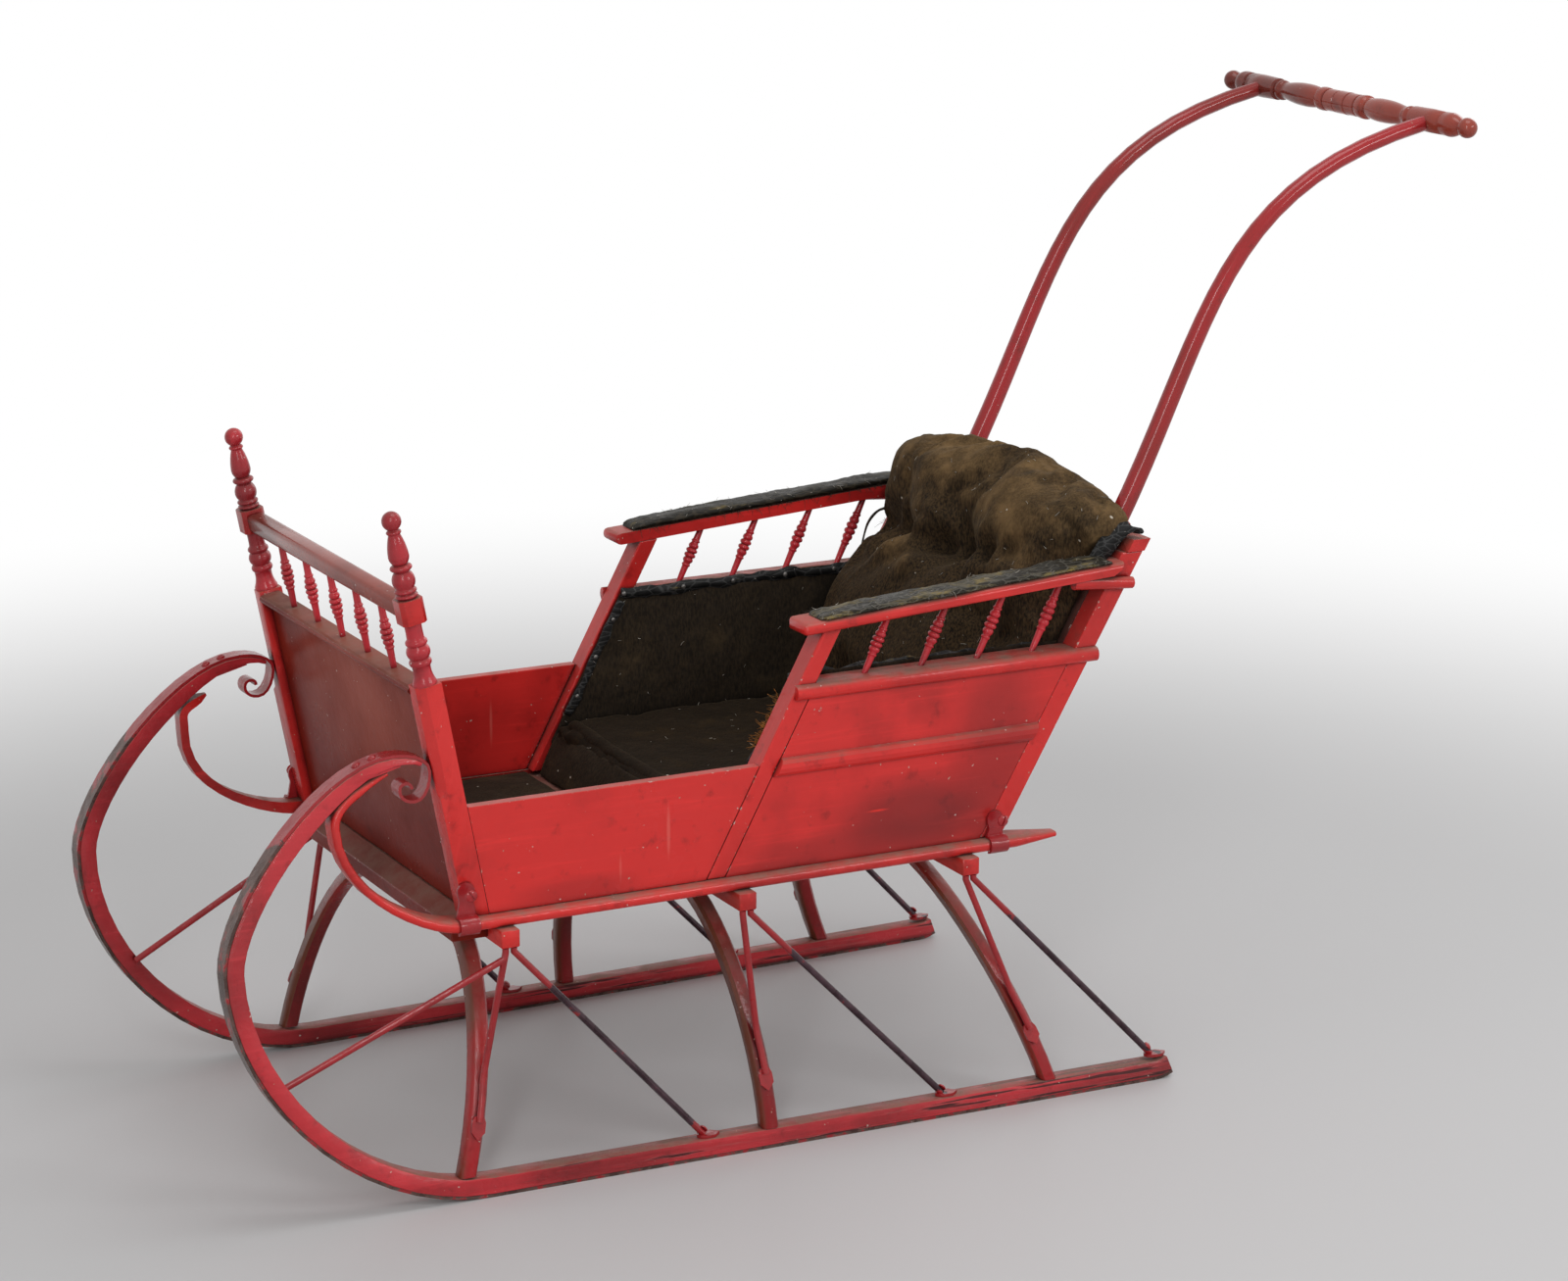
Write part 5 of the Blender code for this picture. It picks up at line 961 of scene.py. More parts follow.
stile_low, stile_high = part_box("rear_stile_left")
front_low, front_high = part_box("front_stile_left")
body_bottom = stile_low.z
back_foot = stile_high.x - REAR_STILE_WIDTH
BACK_ANGLE = math.atan2(back_foot - stile_low.x, stile_high.z - stile_low.z)
back_frame = Matrix.Translation((back_foot, 0.0, body_bottom)) @ Matrix.Rotation(-BACK_ANGLE, 4, "Y")
back_turn = back_frame.to_3x3()


def front_edge(z):
    """Return x of the front stiles' front edge at a height."""
    return front_high.x - FRONT_LEAN * (z - body_bottom)


def back_edge(z):
    """Return x of the back plane at a height."""
    return back_foot - math.tan(BACK_ANGLE) * (z - body_bottom)


def on_back(out, across, up):
    """Return the place of a point given in the back's own leaning frame."""
    return back_frame @ Vector((out, across, up))


print("back leans", round(math.degrees(BACK_ANGLE), 2), "degrees")


# %% [markdown]
# A padded piece starts as a form a little smaller than the cushion. It is remeshed into even
# squares, which hang like cloth, and blown up from inside while its sewn points are held. How
# far a point may move is capped, so that the cushion stays where it belongs. Smooth noise
# then rumples it.

# %% Helpers for soft pieces
def apply_modifiers(thing):
    """Replace a thing's mesh with what its modifiers make of it."""
    bpy.context.view_layer.update()
    evaluated = thing.evaluated_get(bpy.context.evaluated_depsgraph_get())
    mesh = bpy.data.meshes.new_from_object(evaluated)
    thing.modifiers.clear()
    thing.data = mesh
    return mesh


def points_of(mesh):
    """Return a mesh's points as an array."""
    flat = np.zeros(len(mesh.vertices) * 3)
    mesh.vertices.foreach_get("co", flat)
    return flat.reshape(-1, 3)


def set_points(mesh, points):
    """Move a mesh's points."""
    mesh.vertices.foreach_set("co", points.ravel())
    mesh.update()


def remeshed(name, mesh, voxel):
    """Return a temporary object with the mesh's form in even squares, ready for cloth."""
    thing = link(name, mesh)
    squares = thing.modifiers.new("squares", "REMESH")
    squares.mode = "VOXEL"
    squares.voxel_size = voxel
    apply_modifiers(thing)
    return thing


def smoothed(thing):
    """Return a temporary object's mesh, smoothed once, and remove the object."""
    smooth = thing.modifiers.new("smooth", "SUBSURF")
    smooth.levels = smooth.render_levels = 1
    mesh = apply_modifiers(thing)
    bpy.data.objects.remove(thing)
    return mesh


def puff(thing, sewn, pressure, growth, frames, most):
    """Blow a cloth form up from inside, with its sewn points held, and cap the movement."""
    before = points_of(thing.data)
    group = thing.vertex_groups.new(name="sewn")
    group.add([int(i) for i in np.nonzero(sewn)[0]], 1.0, "REPLACE")
    cloth = thing.modifiers.new("cloth", "CLOTH")
    cloth.settings.quality = 6
    cloth.settings.mass = 0.3
    cloth.settings.vertex_group_mass = "sewn"
    cloth.settings.use_pressure = True
    cloth.settings.uniform_pressure_force = pressure
    cloth.settings.shrink_min = -growth
    cloth.settings.tension_stiffness = 20.0
    cloth.settings.compression_stiffness = 8.0
    cloth.settings.bending_stiffness = 0.4
    cloth.settings.effector_weights.gravity = 0.0
    cloth.collision_settings.use_collision = False
    cloth.point_cache.frame_end = frames
    for number in range(1, frames + 1):
        scene.frame_set(number)
    mesh = apply_modifiers(thing)
    moved = points_of(mesh) - before
    length = np.linalg.norm(moved, axis=1, keepdims=True)
    share = np.minimum(1.0, most / np.maximum(length, 1e-9))
    set_points(mesh, before + moved * share)
    print(thing.name, "moved up to", round(float(length.max()) * 1000, 1), "mm")


def rumple(points, amount, size, seed):
    """Push points about by smooth noise, to break up flat cloth."""
    pushed = points.copy()
    for i, point in enumerate(points):
        where = Vector(point) / size + Vector((seed, 0.0, 0.0))
        pushed[i] += np.array(noise.noise_vector(where)) * amount
    return pushed


print("soft helpers ready")

# %% [markdown]
# The back cushion is one plush cover over straw, nailed round its edge to the back board and
# pulled in at a few places, which draws long folds towards each tuft. It starts as the plain
# solid's own arched outline, with a flat back and a crowned front.

# %% Form of the back cushion
CUSHION_NEAR = 0.0216               # from the back plane to the cushion's back
CUSHION_RIM = 0.018                 # thickness at its edge
CUSHION_CROWN = 0.044               # thickness in the middle, before it is puffed
CUSHION_FOOT = 0.0465
CUSHION_SHOULDER = 0.340
CUSHION_TOP = 0.368
CUSHION_HALF = 0.190
CUSHION_TOP_HALF = 0.209
CUSHION_SPREAD = (0.285, 0.03)      # where it starts to widen, and over which length
CUSHION_COLUMNS = 44
CUSHION_ROWS = 32
CUSHION_VOXEL = 0.0052


def cushion_half(up):
    """Return the cushion's half width at a place up the slope."""
    spread = min(max((up - CUSHION_SPREAD[0]) / CUSHION_SPREAD[1], 0.0), 1.0)
    return CUSHION_HALF + (CUSHION_TOP_HALF - CUSHION_HALF) * spread


def cushion_top(across):
    """Return how far up the slope the cushion's arched top lies."""
    share = min(abs(across) / CUSHION_TOP_HALF, 1.0)
    return CUSHION_SHOULDER + (CUSHION_TOP - CUSHION_SHOULDER) * math.cos(share * math.pi / 2) ** 0.7


def cushion_point(i, j, crowned):
    """Return a point of the cushion's back or front in the back's frame: out, across, up."""
    share_y, share_z = 2 * i / CUSHION_COLUMNS - 1, j / CUSHION_ROWS
    up = CUSHION_FOOT + (cushion_top(share_y * CUSHION_TOP_HALF) - CUSHION_FOOT) * share_z
    out = CUSHION_NEAR
    if crowned:
        fall = (1 - abs(share_y) ** 4) * (1 - abs(2 * share_z - 1) ** 5)
        out += CUSHION_RIM + (CUSHION_CROWN - CUSHION_RIM) * fall ** 0.6
    return out, share_y * cushion_half(up), up


shape = bmesh.new()
sheets = [[[shape.verts.new(cushion_point(i, j, crowned)) for j in range(CUSHION_ROWS + 1)]
           for i in range(CUSHION_COLUMNS + 1)] for crowned in (False, True)]
shell(shape, *sheets)
cushion = remeshed("cushion_form", closed_mesh("back cushion", shape), CUSHION_VOXEL)
print("cushion form", len(cushion.data.vertices), "points")

# %% [markdown]
# Cloth under pressure fills the cover out: the back and the tufts are held, and the cover is
# given a little more cloth than it needs. The folds run between the tufts as the cover's seams
# pull it, each a groove with a low ridge on both sides that fades along its length.

# %% Back cushion
TUFTS = ((0.012, 0.249, 0.020), (-0.118, 0.240, 0.014), (0.105, 0.185, 0.010))
TUFT_WIDTH = 0.022
TUFT_HELD = 0.006
FOLDS = (                           # from (across, up), to (across, up), depth, width
    ((-0.170, 0.243), (-0.020, 0.240), 0.013, 0.015),
    ((-0.020, 0.240), (0.085, 0.251), 0.015, 0.015),
    ((0.085, 0.251), (0.200, 0.268), 0.008, 0.013),
    ((0.012, 0.249), (-0.045, 0.292), 0.007, 0.010),
    ((0.012, 0.249), (0.000, 0.300), 0.004, 0.010),
    ((0.050, 0.250), (0.060, 0.285), 0.004, 0.009),
    ((0.085, 0.251), (0.100, 0.290), 0.004, 0.009),
    ((0.085, 0.251), (0.140, 0.300), 0.005, 0.008),
    ((0.120, 0.257), (0.185, 0.322), 0.006, 0.009),
    ((-0.110, 0.245), (-0.130, 0.300), 0.005, 0.011),
    ((-0.020, 0.240), (-0.125, 0.170), 0.007, 0.011),
    ((-0.070, 0.241), (-0.150, 0.205), 0.006, 0.009),
    ((0.010, 0.238), (-0.050, 0.150), 0.007, 0.011),
    ((0.055, 0.246), (0.040, 0.160), 0.006, 0.011),
    ((0.085, 0.251), (0.110, 0.180), 0.006, 0.011),
)
FOLD_FADE = 0.75
RIDGE = 0.35
UPPER_ROLL = (0.305, 0.034, 0.008)  # up the slope, half width, how far it swells

points = points_of(cushion.data)
held = points[:, 0] < CUSHION_NEAR + 0.008
front_side = points[:, 0] > CUSHION_NEAR + 0.012
for across, up, deep in TUFTS:
    away = np.hypot(points[:, 1] - across, points[:, 2] - up)
    front_side = points[:, 0] > CUSHION_NEAR + 0.012
    points[:, 0] -= np.where(front_side, deep * np.exp(-(away / TUFT_WIDTH) ** 2), 0.0)
    held |= front_side & (away < TUFT_HELD)
set_points(cushion.data, points)
puff(cushion, held, 5.0, 0.10, 22, 0.020)
points = points_of(cushion.data)
front_share = np.clip((points[:, 0] - CUSHION_NEAR - 0.010) / 0.016, 0.0, 1.0)
roll_up, roll_wide, roll_swell = UPPER_ROLL
points[:, 0] += front_share * roll_swell * np.exp(-((points[:, 2] - roll_up) / roll_wide) ** 2)
for (y0, z0), (y1, z1), deep, wide in FOLDS:
    run = (y1 - y0) ** 2 + (z1 - z0) ** 2
    along = np.clip(((points[:, 1] - y0) * (y1 - y0) + (points[:, 2] - z0) * (z1 - z0)) / run, 0.0, 1.0)
    away = np.hypot(points[:, 1] - y0 - along * (y1 - y0), points[:, 2] - z0 - along * (z1 - z0))
    fall = np.exp(-(away / wide) ** 2) - RIDGE * np.exp(-((away - 1.9 * wide) / wide) ** 2)
    points[:, 0] -= front_share * deep * fall * (1.0 - FOLD_FADE * along)
points = rumple(points, 0.0026, 0.045, 3.0)
points = rumple(points, 0.0010, 0.015, 5.0)
points[:, 0] = np.maximum(points[:, 0], CUSHION_NEAR)
set_points(cushion.data, points)
cushion.data.transform(back_frame)
back_pad = make_piece("back_pad", smoothed(cushion), plush, ["back_cushion"])
print("back pad", len(back_pad.data.polygons), "faces")

# %% [markdown]
# The seat pad is a flat straw cushion under the same plush, in a darker copy that is painted
# shade for its place low inside the body. It has sagged in the middle, and its front edge is
# a soft roll where the cloth turns down over the board in front.

# %% Seat cushion
SEAT_SAG = 0.009
SEAT_VOXEL = 0.0055
SEAT_GAP = 0.0012                   # between the seat and the back cushion
SEAT_SETBACK = 0.010                # behind the front stiles' front edge
SEAT_EASE = 0.003                   # room at each side for it to swell
SEAT_ROOM = 0.004                   # and above it

seat_low, seat_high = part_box("seat_cushion")
seat_front = front_edge(seat_low.z) - SEAT_SETBACK
shape = bmesh.new()
bmesh.ops.create_cube(shape, size=1.0)
bmesh.ops.subdivide_edges(shape, edges=shape.edges, cuts=23, use_grid_fill=True)
for vertex in shape.verts:
    share = vertex.co + Vector((0.5, 0.5, 0.5))
    z = seat_low.z + (seat_high.z - SEAT_ROOM - seat_low.z) * share.z
    y = seat_low.y + SEAT_EASE + (seat_high.y - seat_low.y - 2 * SEAT_EASE) * share.y
    rear = back_edge(z) + (CUSHION_NEAR + SEAT_GAP) / math.cos(BACK_ANGLE)
    vertex.co = Vector((rear + (seat_front - rear) * share.x, y, z))
seat = remeshed("seat_form", mesh_of("seat form", shape), SEAT_VOXEL)
points = points_of(seat.data)
puff(seat, points[:, 2] < seat_low.z + 0.004, 3.0, 0.05, 16, 0.006)
points = points_of(seat.data)
share_up = (points[:, 2] - seat_low.z) / (seat_high.z - seat_low.z)
across = 1.0 - (points[:, 1] / seat_high.y) ** 2
forward = np.clip((points[:, 0] - seat_low.x) / (seat_high.x - seat_low.x), 0.0, 1.0)
points[:, 2] -= share_up * SEAT_SAG * across * (0.35 + 0.65 * forward)
points = rumple(points, 0.0016, 0.045, 7.0)
points[:, 2] = np.clip(points[:, 2], seat_low.z, None)
set_points(seat.data, points)
seat_pad = make_piece("seat_pad", smoothed(seat), shaded_seat_plush, ["seat_cushion"])
print("seat pad", len(seat_pad.data.polygons), "faces")

# %% [markdown]
# The linings, the cloth down the front of the seat and the cloth on the footwell's floor are
# single sheets tacked to the wood. A sheet is a grid of points, laid over its place by a
# rule, rumpled a little and given the thickness of cloth.

# %% Cloth sheets
CLOTH_THICKNESS = 0.0018


def cloth_sheet(name, corner_at, columns, rows, amount, seed, stands_for=()):
    """Lay a sheet by a rule of (share along, share up) and return the piece."""
    shape = bmesh.new()
    grid = []
    for i in range(columns + 1):
        grid.append([shape.verts.new(corner_at(i / columns, j / rows)) for j in range(rows + 1)])
    for i in range(columns):
        for j in range(rows):
            shape.faces.new((grid[i][j], grid[i + 1][j], grid[i + 1][j + 1], grid[i][j + 1]))
    mesh = mesh_of(name, shape)
    set_points(mesh, rumple(points_of(mesh), amount, 0.04, seed))
    thing = link("sheet", mesh)
    thick = thing.modifiers.new("cloth", "SOLIDIFY")
    thick.thickness = CLOTH_THICKNESS
    thick.offset = 0.0
    return make_piece(name, smoothed(thing), dark_plush, stands_for)


lining_low, lining_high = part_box("side_lining_left")
LINING_TOP = lining_high.z - 0.0015
LINING_BULGE = 0.006
for side_name, side in SIDES:
    def lining_at(along, up, side=side):
        z = lining_low.z + (LINING_TOP - lining_low.z) * up
        rear = back_edge(z) + CUSHION_NEAR / math.cos(BACK_ANGLE) + 0.004
        front = front_edge(z) - 0.0035
        swell = LINING_BULGE * math.sin(math.pi * along) * math.sin(math.pi * up)
        return (rear + (front - rear) * along, side * (lining_low.y + 0.0015 - swell), z)
    lining = cloth_sheet("lining_" + side_name, lining_at, 48, 24, 0.0010, 11.0 + side,
                         ["side_lining_" + side_name])

apron_low, apron_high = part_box("seat_apron")


def apron_at(along, up):
    z = apron_low.z + 0.001 + (seat_low.z + 0.012 - apron_low.z) * up
    swell = 0.003 * math.sin(math.pi * up) * (0.6 + 0.4 * math.sin(9.0 * along))
    return (front_edge(z) - 0.0075 + swell, (apron_high.y - 0.001) * (2 * along - 1), z)


apron = cloth_sheet("seat_front_cloth", apron_at, 56, 10, 0.0018, 23.0, ["seat_apron"])

floor_low, floor_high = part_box("floor_board")
carpet_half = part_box("low_panel_left")[0].y - 0.004
carpet_rear = front_edge(floor_high.z)


def carpet_at(along, up):
    x = carpet_rear + 0.002 + (floor_high.x - 0.004 - carpet_rear) * along
    return (x, carpet_half * (2 * up - 1), floor_high.z + 0.0030)


carpet = cloth_sheet("footwell_cloth", carpet_at, 36, 56, 0.0012, 31.0)
print("sheets laid")

# %% [markdown]
# Each arm pad is oilcloth over a thin roll of stuffing, tacked under its edges. It is long
# and low, so its form is a rule: a rounded section carried along the arm, fuller in the
# middle and pinched at the ends, then dented by noise like an old pad. The stuffing of the
# left pad has gone flat. The right one is still thick and hangs over the inside of the arm.

# %% Arm pads
PAD_SECTION = 24
PAD_STATIONS = 150
PAD_FORMS = {                       # thickness share, shift towards the seat, dent, wave, cloth
    "left": (0.62, 0.0000, 0.0022, 0.0026, pad_cloth),
    "right": (1.00, 0.0035, 0.0018, 0.0012, far_pad_cloth),
}


def pad_wave(x, side):
    """Return how an old arm pad wanders sideways along the arm."""
    return noise.noise(Vector((x * 22.0, side * 3.0, 0.7)))


def squared(value, power):
    """Return a sine or cosine pushed outwards, to square a round section off."""
    return math.copysign(abs(value) ** power, value)


for side_name, side in SIDES:
    low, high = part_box("armrest_pad_" + side_name)
    full_share, shift, dent, wave, cover = PAD_FORMS[side_name]
    wide = (high.y - low.y) / 2 + 0.0005
    middle = (high.y + low.y) / 2 - side * shift
    thick = (high.z - low.z - ARM_FALL * (high.x - low.x)) * full_share
    rings = []
    for i in range(PAD_STATIONS + 1):
        along = i / PAD_STATIONS
        x = high.x - (high.x - low.x) * along
        base = low.z + ARM_FALL * (high.x - x)
        full = (1 - abs(2 * along - 1) ** 14) ** 0.5 * 0.93 + 0.07
        ring = []
        for j in range(PAD_SECTION):
            angle = 2 * math.pi * j / PAD_SECTION
            out = squared(math.cos(angle), 0.6) * wide * (0.80 + 0.20 * full)
            raised = squared(math.sin(angle), 0.7) * 0.5 + 0.5
            lump = noise.noise(Vector((x * 38.0, out * 60.0, side * 5.0))) * dent
            lump += noise.noise(Vector((x * 150.0, out * 90.0, side * 9.0))) * dent * 0.45
            z = base + thick * raised * full + lump * raised
            ring.append((x, middle + out + pad_wave(x, side) * wave, z))
        rings.append(ring)
    shape = bmesh.new()
    tube(shape, rings)
    name = "arm_pad_" + side_name
    arm_pad = make_piece(name, closed_mesh(name, shape), cover, ["armrest_pad_" + side_name])
print("arm pads made")

# %% [markdown]
# Tape and cord cover the raw edges of the upholstery. A tape is a flat strip carried along a
# smooth path, with its width laid in a given direction. A cord is a thin tube whose radius
# swells at each twist. Both follow Catmull-Rom curves, which pass through their few points.

# %% Edging helpers
TAPE_SECTION = ((-1.0, -0.2), (-0.98, 0.35), (-0.8, 0.8), (-0.3, 1.0), (0.3, 1.0), (0.8, 0.8), (0.98, 0.35),
                (1.0, -0.2))


def smooth_path(points, steps):
    """Return points along a smooth curve through a few points."""
    points = [Vector(point) for point in points]
    ends = [points[0] * 2 - points[1]] + points + [points[-1] * 2 - points[-2]]
    path = []
    for a, b, c, d in zip(ends, ends[1:], ends[2:], ends[3:]):
        for i in range(steps):
            t = i / steps
            path.append(0.5 * (2 * b + (c - a) * t + (2 * a - 5 * b + 4 * c - d) * t * t
                               + (3 * b - a - 3 * c + d) * t ** 3))
    path.append(points[-1])
    return path


def with_headings(path):
    """Return each point of a path with its number and the way the path runs there."""
    last = len(path) - 1
    return [(i, point, (path[min(i + 1, last)] - path[max(i - 1, 0)]).normalized())
            for i, point in enumerate(path)]


def sweep(name, rings, material):
    """Join rings of points into a closed piece."""
    shape = bmesh.new()
    tube(shape, rings)
    return make_piece(name, closed_mesh(name, shape), material)


def tape(name, points, across, width, thick, ragged, seed, material, steps=16):
    """Lay a flat strip along a path. It is wide along across and stands proud the other way."""
    rings = []
    for _, point, heading in with_headings(smooth_path(points, steps)):
        side = (across - heading * across.dot(heading)).normalized()
        proud = side.cross(heading)
        low_edge = noise.noise(point * 70.0 + Vector((seed, 0, 0))) * ragged
        high_edge = noise.noise(point * 70.0 + Vector((0, seed, 0))) * ragged
        lift = noise.noise(point * 110.0 + Vector((0, 0, seed))) * thick * 0.35
        ring = []
        for u, v in TAPE_SECTION:
            edge = high_edge if u > 0 else low_edge
            ring.append(point + side * (u * width / 2 + edge * abs(u)) + proud * (v * (thick + lift)))
        rings.append(ring)
    return sweep(name, rings, material)


def twisted_cord(name, points, radius, pitch, material):
    """Lay a thin cord along a path, swelling at each twist."""
    path = smooth_path(points, 12)
    spaced = [path[0]]
    for first, second in zip(path, path[1:]):
        parts = max(1, round((second - first).length / (pitch / 4)))
        spaced += [first.lerp(second, (k + 1) / parts) for k in range(parts)]
    rings = []
    for i, point, heading in with_headings(spaced):
        side = heading.orthogonal().normalized()
        other = heading.cross(side)
        swell = radius * (1.0 + 0.22 * math.cos(math.pi * i / 2))
        rings.append([point + (side * math.cos(a) + other * math.sin(a)) * swell
                      for a in [2 * math.pi * j / 8 for j in range(8)]])
    return sweep(name, rings, material)


print("tape section", len(TAPE_SECTION), "points")

# %% [markdown]
# On this seat, black leather tape binds the raw corners of the back, grey tape nailed with
# dome tacks holds the top of each lining, and a twisted cord hides the tacks under the outer
# edge of each arm pad. The seat's front edge is a plush roll over the board.

# %% Tapes, cords and the seat's front roll
BINDING = ((0.034, 0.203, 0.272), (0.036, 0.208, 0.294), (0.035, 0.211, 0.312), (0.031, 0.212, 0.326),
           (0.022, 0.212, 0.334), (0.010, 0.211, 0.333))
LINING_TAPE_WAVE = (0.0010, -0.0008, 0.0006, -0.0004, 0.0009, -0.0010, 0.0004)
LINING_TAPE_Z = lining_high.z - 0.0062
STILE_TAPE_INSET = 0.0085           # behind the front stiles' front edge
ROLL_RADIUS = 0.0085
ROLL_STEPS = 120
ROLL_SIDES = 16

tape_front, tape_rear = front_edge(LINING_TAPE_Z) - 0.004, back_edge(LINING_TAPE_Z) + 0.052
tape_low, tape_high = lining_low.z + 0.030, LINING_TAPE_Z - 0.008
for side_name, side in SIDES:
    inside = side * (lining_low.y - 0.0008)
    spots = [on_back(out, side * across, up) for out, across, up in BINDING]
    across_binding = back_turn @ Vector((0.9, -0.45 * side, 0.0))
    tape("corner_binding_" + side_name, spots, side * across_binding, 0.018, 0.0026, 0.0020, 3.0 + side,
         binding_cloth)
    spots = [(tape_front + (tape_rear - tape_front) * i / 6, inside, LINING_TAPE_Z + wave)
             for i, wave in enumerate(LINING_TAPE_WAVE)]
    tape("lining_tape_" + side_name, spots, Vector((0, 0, -side)), 0.0115, 0.0013, 0.0034, 7.0 + side,
         binding_cloth, steps=24)
    spots = [(front_edge(z) - STILE_TAPE_INSET, inside, z)
             for z in (tape_low, (tape_low + tape_high) / 2, tape_high)]
    tape("stile_tape_" + side_name, spots, Vector((side, 0, 0)), 0.0090, 0.0012, 0.0026, 9.0 + side,
         binding_cloth, steps=24)
    low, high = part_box("armrest_pad_" + side_name)
    outer = (high.y if side > 0 else low.y) + side * 0.0004
    _, shift, _, wave, _ = PAD_FORMS[side_name]
    spots = []
    for i in range(8):
        x = high.x - 0.004 - (high.x - low.x - 0.008) * i / 7
        wander = pad_wave(x, side) * wave - side * shift
        spots.append((x, outer + wander, low.z + ARM_FALL * (high.x - x) + 0.0016))
    twisted_cord("pad_cord_" + side_name, spots, 0.0013, 0.0036, pad_cloth)

rings = []
roll_z = seat_high.z - 0.0045
for i in range(ROLL_STEPS + 1):
    share = 2 * i / ROLL_STEPS - 1
    y = (seat_high.y - 0.004) * share
    sag = 0.006 * (1 - share ** 2)
    middle = Vector((front_edge(roll_z) - 0.0155, y, roll_z - sag))
    end = max(0.25, min(1.0, (1 - abs(share)) * 22.0))
    ring = []
    for angle in [2 * math.pi * j / ROLL_SIDES for j in range(ROLL_SIDES)]:
        lump = 1.0 + 0.20 * noise.noise(Vector((math.cos(angle), y * 40.0, math.sin(angle))))
        out = ROLL_RADIUS * end * lump
        ring.append(middle + Vector((math.cos(angle) * out, 0.0, math.sin(angle) * out * 0.8)))
    rings.append(ring)
front_roll = sweep("seat_front_roll", rings, shaded_seat_plush)
print("edging laid")

# %% [markdown]
# Heads of tacks, screws and bolts are all one form: a low dome, with a slot cut across it if
# it is a screw. A row of them is one mesh. The slot is made by columns of points close to
# both sides of it, the inner ones sunk.

# %% Heads
HEAD_COLUMNS = (-1.0, -0.9, -0.7, -0.5, -0.3, -0.15, -0.13, 0.13, 0.15, 0.3, 0.5, 0.7, 0.9, 1.0)
HEAD_ROWS = 12
SLOT_HALF = 0.14                    # half width of a screw's slot, as a share of the radius
SLOT_DEPTH = 0.55
HEAD_SINK = 0.0004


def heads(name, places, radius, height, material, slotted=False):
    """Set domed heads on points, each given with the way it faces and its turn in degrees."""
    shape = bmesh.new()
    for point, faces, turn_angle in places:
        place = (Matrix.Translation(point) @ Vector(faces).to_track_quat("Z", "Y").to_matrix().to_4x4()
                 @ Matrix.Rotation(math.radians(turn_angle), 4, "Z"))
        top, foot = [], []
        for column in HEAD_COLUMNS:
            reach = math.sqrt(max(0.0, 1 - column ** 2)) * 0.98 + 0.02
            top_line, foot_line = [], []
            for j in range(HEAD_ROWS + 1):
                row = (2 * j / HEAD_ROWS - 1) * reach
                off = min(1.0, math.hypot(column, row))
                z = height * (math.sqrt(1 - (0.96 * off) ** 2) - 0.1)
                if slotted and abs(column) < SLOT_HALF:
                    z -= height * SLOT_DEPTH
                at = Vector((column * radius, row * radius, 0.0))
                top_line.append(shape.verts.new(place @ (at + Vector((0, 0, max(z, 0.0))))))
                foot_line.append(shape.verts.new(place @ (at - Vector((0, 0, HEAD_SINK)))))
            top.append(top_line)
            foot.append(foot_line)
        shell(shape, foot, top)
    mesh = closed_mesh(name, shape)
    piece = make_piece(name, mesh, material)
    mesh.set_sharp_from_angle(angle=CREASE_ANGLE)
    return piece


print("head rows", HEAD_ROWS)

# %% [markdown]
# Dome tacks nail the linings' tapes. A slotted screw holds each corner strap. Bolts hold the
# iron to the runners: three along each nose, and one through the flattened foot of each
# diagonal brace. Their places on the iron are found by looking straight down onto it.

# %% Tacks, screws and bolts
TACKS_ALONG = (0.086, 0.017, -0.042, -0.104, -0.163)
TACKS_UP = (0.352, 0.392, 0.430)
STRAP_SCREWS = (("front", 0.4438, 0.3000, 35.0), ("rear", -0.1297, 0.2945, -20.0))
NOSE_BOLTS = (0.5445, 0.5285, 0.4746)
NOSE_BOLT_Y = 0.2030
BRACE_FEET = (("front", 0.205, 0.2388), ("mid", -0.058, 0.2441), ("rear", -0.297, 0.2490))


def top_of(node, x, y):
    """Return a node's highest point at a place, the way it faces there, and no turn."""
    start = Vector((x, y, cad_high.z))
    hit, spot, normal, _ = nodes[node].ray_cast(start, Vector((0, 0, -1)))
    return (spot, normal, 0) if hit else (start, Vector((0, 0, 1)), 0)


for side_name, side in SIDES:
    inside = side * (lining_low.y - 0.0020)
    tacks = [(Vector((x, inside, LINING_TAPE_Z)), (0, -side, 0), 0) for x in TACKS_ALONG]
    tacks += [(Vector((front_edge(z) - STILE_TAPE_INSET, inside, z)), (0, -side, 0), 0) for z in TACKS_UP]
    heads("lining_tacks_" + side_name, tacks, 0.0026, 0.0017, tack_iron)
    screws = []
    for strap, x, z, turned in STRAP_SCREWS:
        low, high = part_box("corner_strap_" + strap + "_" + side_name)
        screws.append((Vector((x, high.y if side > 0 else low.y, z)), (0, side, 0), turned))
    heads("strap_screws_" + side_name, screws, 0.0058, 0.0026, strap_iron, slotted=True)
    bolts = [top_of("shoe_" + side_name, x, side * NOSE_BOLT_Y) for x in NOSE_BOLTS]
    heads("nose_bolts_" + side_name, bolts, 0.0046, 0.0030, strap_iron)
    bolts = [top_of("diagonal_brace_" + station + "_" + side_name, x, side * y)
             for station, x, y in BRACE_FEET]
    heads("foot_bolts_" + side_name, bolts, 0.0044, 0.0028, strap_iron)
print("bolts set", 2 * (len(NOSE_BOLTS) + len(BRACE_FEET)))

# %% [markdown]
# Loose fibres finish the cloth: white lint caught in the pile, straw pushing out beside the
# near stile, and dark threads frayed from the edges. Each is a thin bent thread with three
# sides. Their places come from the pieces' own faces, picked by a seeded random draw.

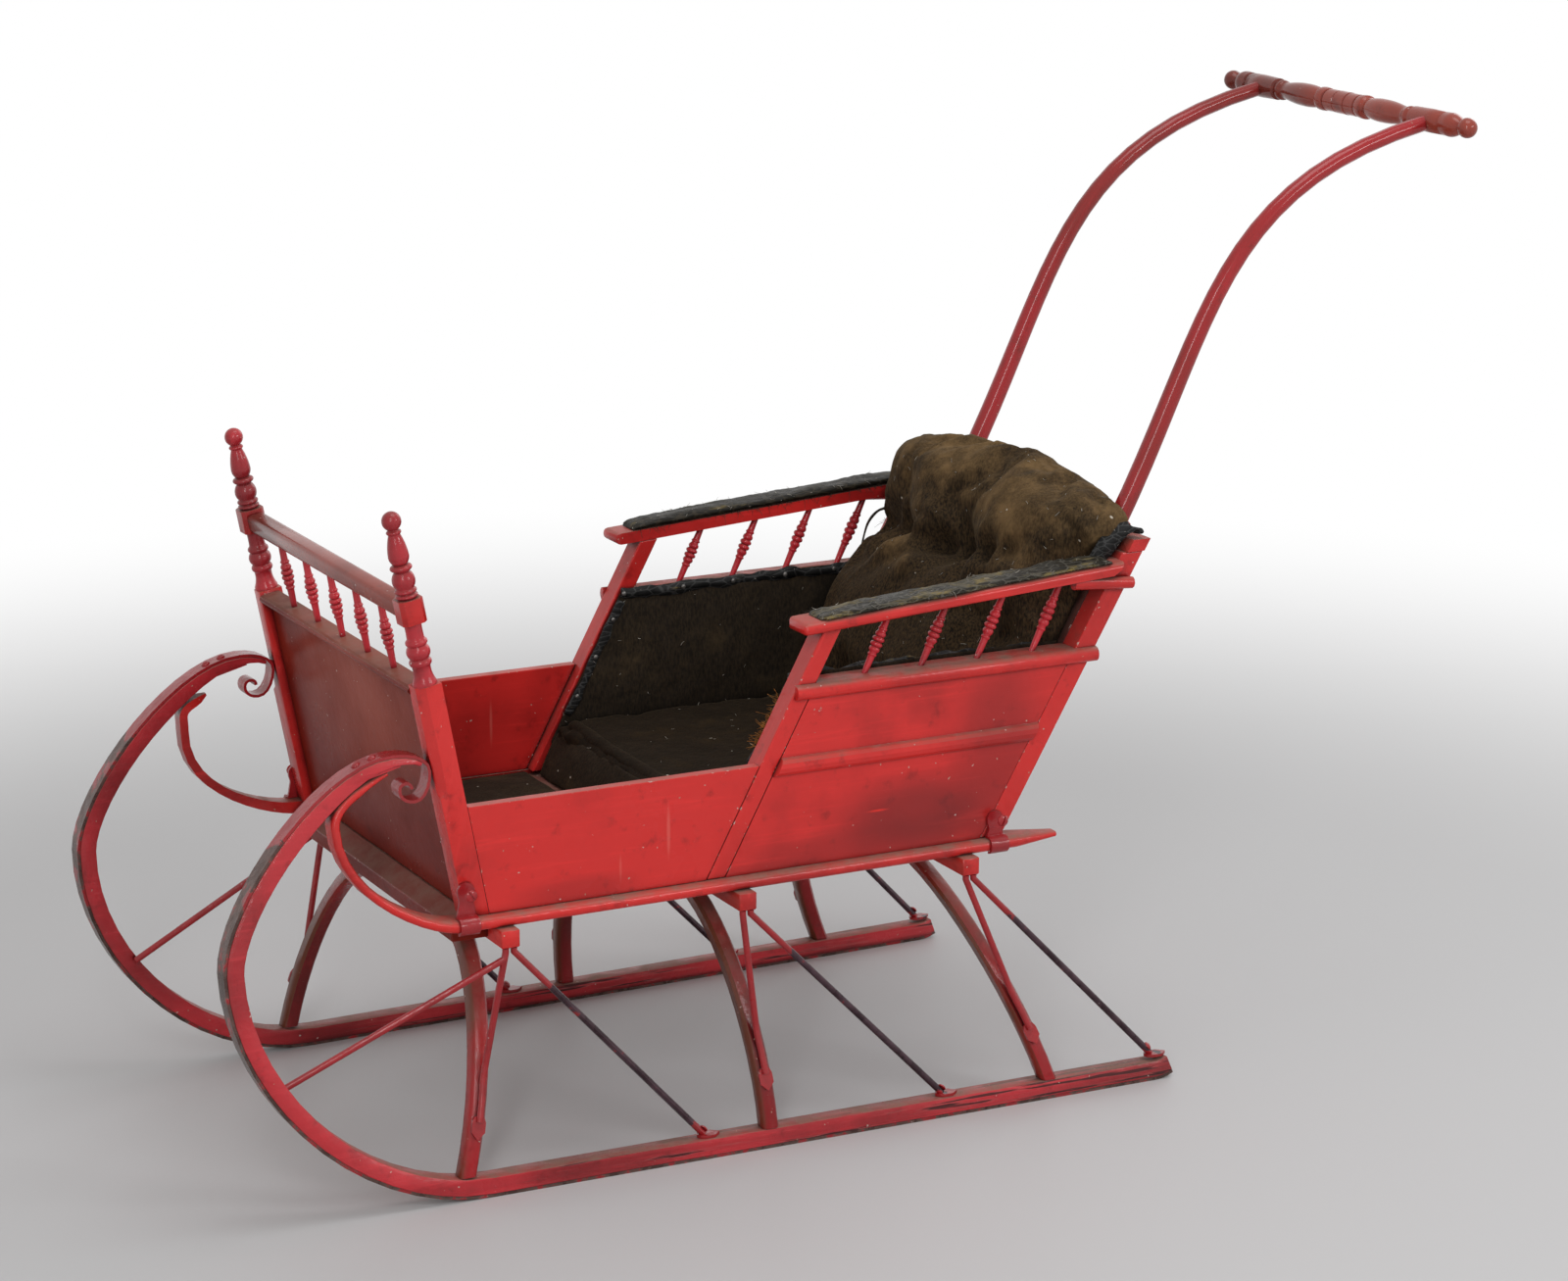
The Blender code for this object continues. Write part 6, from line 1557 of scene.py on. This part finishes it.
# %% Fibre helpers
FIBRE_STEPS = 4
FIBRE_CORNERS = (0.0, 2.094, 4.189)
FIBRE_TAPER = 0.55


def any_way(draw):
    """Return a random direction, with some random length."""
    return Vector([draw.uniform(-1, 1) for _ in range(3)])


def fibres(name, places, spread, length, radius, bend, seed, material):
    """Grow thin bent threads from points, each with the way it sets off."""
    draw = random.Random(seed)
    shape = bmesh.new()
    for point, heading in places:
        heading = (Vector(heading) + any_way(draw) * spread).normalized()
        curve = any_way(draw) * bend
        reach = length * draw.uniform(0.45, 1.3)
        side = heading.orthogonal().normalized()
        other = heading.cross(side)
        rings = []
        for i in range(FIBRE_STEPS + 1):
            share = i / FIBRE_STEPS
            middle = Vector(point) + (heading * share + curve * share * share) * reach
            thin = radius * (1 - FIBRE_TAPER * share)
            rings.append([middle + (side * math.cos(a) + other * math.sin(a)) * thin for a in FIBRE_CORNERS])
        tube(shape, rings)
    return make_piece(name, closed_mesh(name, shape), material)


def caught_on(name, count, seed, way, least=0.3):
    """Pick random faces of a piece that look one way, and a direction along each."""
    draw = random.Random(seed)
    polygons = bpy.data.objects[name].data.polygons
    facing = [face for face in polygons if face.normal.dot(way) > least]
    places = []
    for face in draw.sample(facing, count):
        along = any_way(draw).cross(face.normal)
        places.append((face.center + face.normal * 0.0005, along.normalized()))
    return places


print("fibre steps", FIBRE_STEPS)

# %% [markdown]
# Lint is spread over every cloth. The straw stands in one tuft. Threads fray from the back
# cushion's right edge, from both arm pads' outer edges and from the seat's front roll, and
# the torn binding of the back hangs down in a loop.

# %% Loose fibres
UP = Vector((0, 0, 1))
LEFT = Vector((0, 1, 0))
LINT = (                            # piece, fibres, seed, the way its faces look
    ("back_pad", 130, 1, back_turn @ Vector((1, 0, 0))), ("seat_pad", 60, 2, UP),
    ("lining_right", 34, 3, LEFT), ("lining_left", 34, 4, -LEFT),
    ("arm_pad_right", 46, 5, UP), ("arm_pad_left", 22, 6, UP),
)
STRAWS = 70
BACK_THREADS = 120
PAD_THREADS = 150
ROLL_THREADS = 60
TORN_EDGE = ((0.030, -0.196, 0.262), (0.040, -0.207, 0.250), (0.046, -0.206, 0.232), (0.044, -0.204, 0.214),
             (0.040, -0.201, 0.200), (0.034, -0.196, 0.190))

lint = [place for row in LINT for place in caught_on(*row)]
fibres("lint", lint, 0.05, 0.0050, 0.00030, 0.5, 21, lint_fibre)

draw = random.Random(8)
straw = []
for _ in range(STRAWS):
    z = draw.uniform(0.392, 0.440)
    straw.append(((front_edge(z) - 0.004, draw.uniform(0.1885, 0.1925), z), (0.9, -0.35, 0.5)))
fibres("straw", straw, 0.8, 0.0075, 0.00045, 0.6, 22, straw_fibre)

frayed = []
for _ in range(BACK_THREADS):
    up = draw.uniform(0.230, 0.335)
    frayed.append((on_back(draw.uniform(0.026, 0.040), -cushion_half(up) + 0.002, up),
                   back_turn @ Vector((0.3, -0.8, -0.4))))
low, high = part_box("armrest_pad_left")
for side in (1, -1):
    for _ in range(PAD_THREADS):
        x = draw.uniform(low.x, high.x)
        z = low.z + ARM_FALL * (high.x - x) + 0.001
        frayed.append(((x, side * (low.y - 0.002), z), (0.2, -side * 0.8, -0.6)))
for _ in range(ROLL_THREADS):
    frayed.append(((front_edge(roll_z) - 0.008, draw.uniform(-0.02, 0.16), roll_z - 0.008), (0.8, 0.0, -0.5)))
fibres("frayed_threads", frayed, 0.5, 0.0068, 0.00030, 0.8, 23, thread_fibre)
tape("torn_edge", [on_back(*spot) for spot in TORN_EDGE], UP, 0.0032, 0.0009, 0.0012, 5.0,
     thread_fibre, steps=8)
print("fibres", len(lint) + len(straw) + len(frayed))
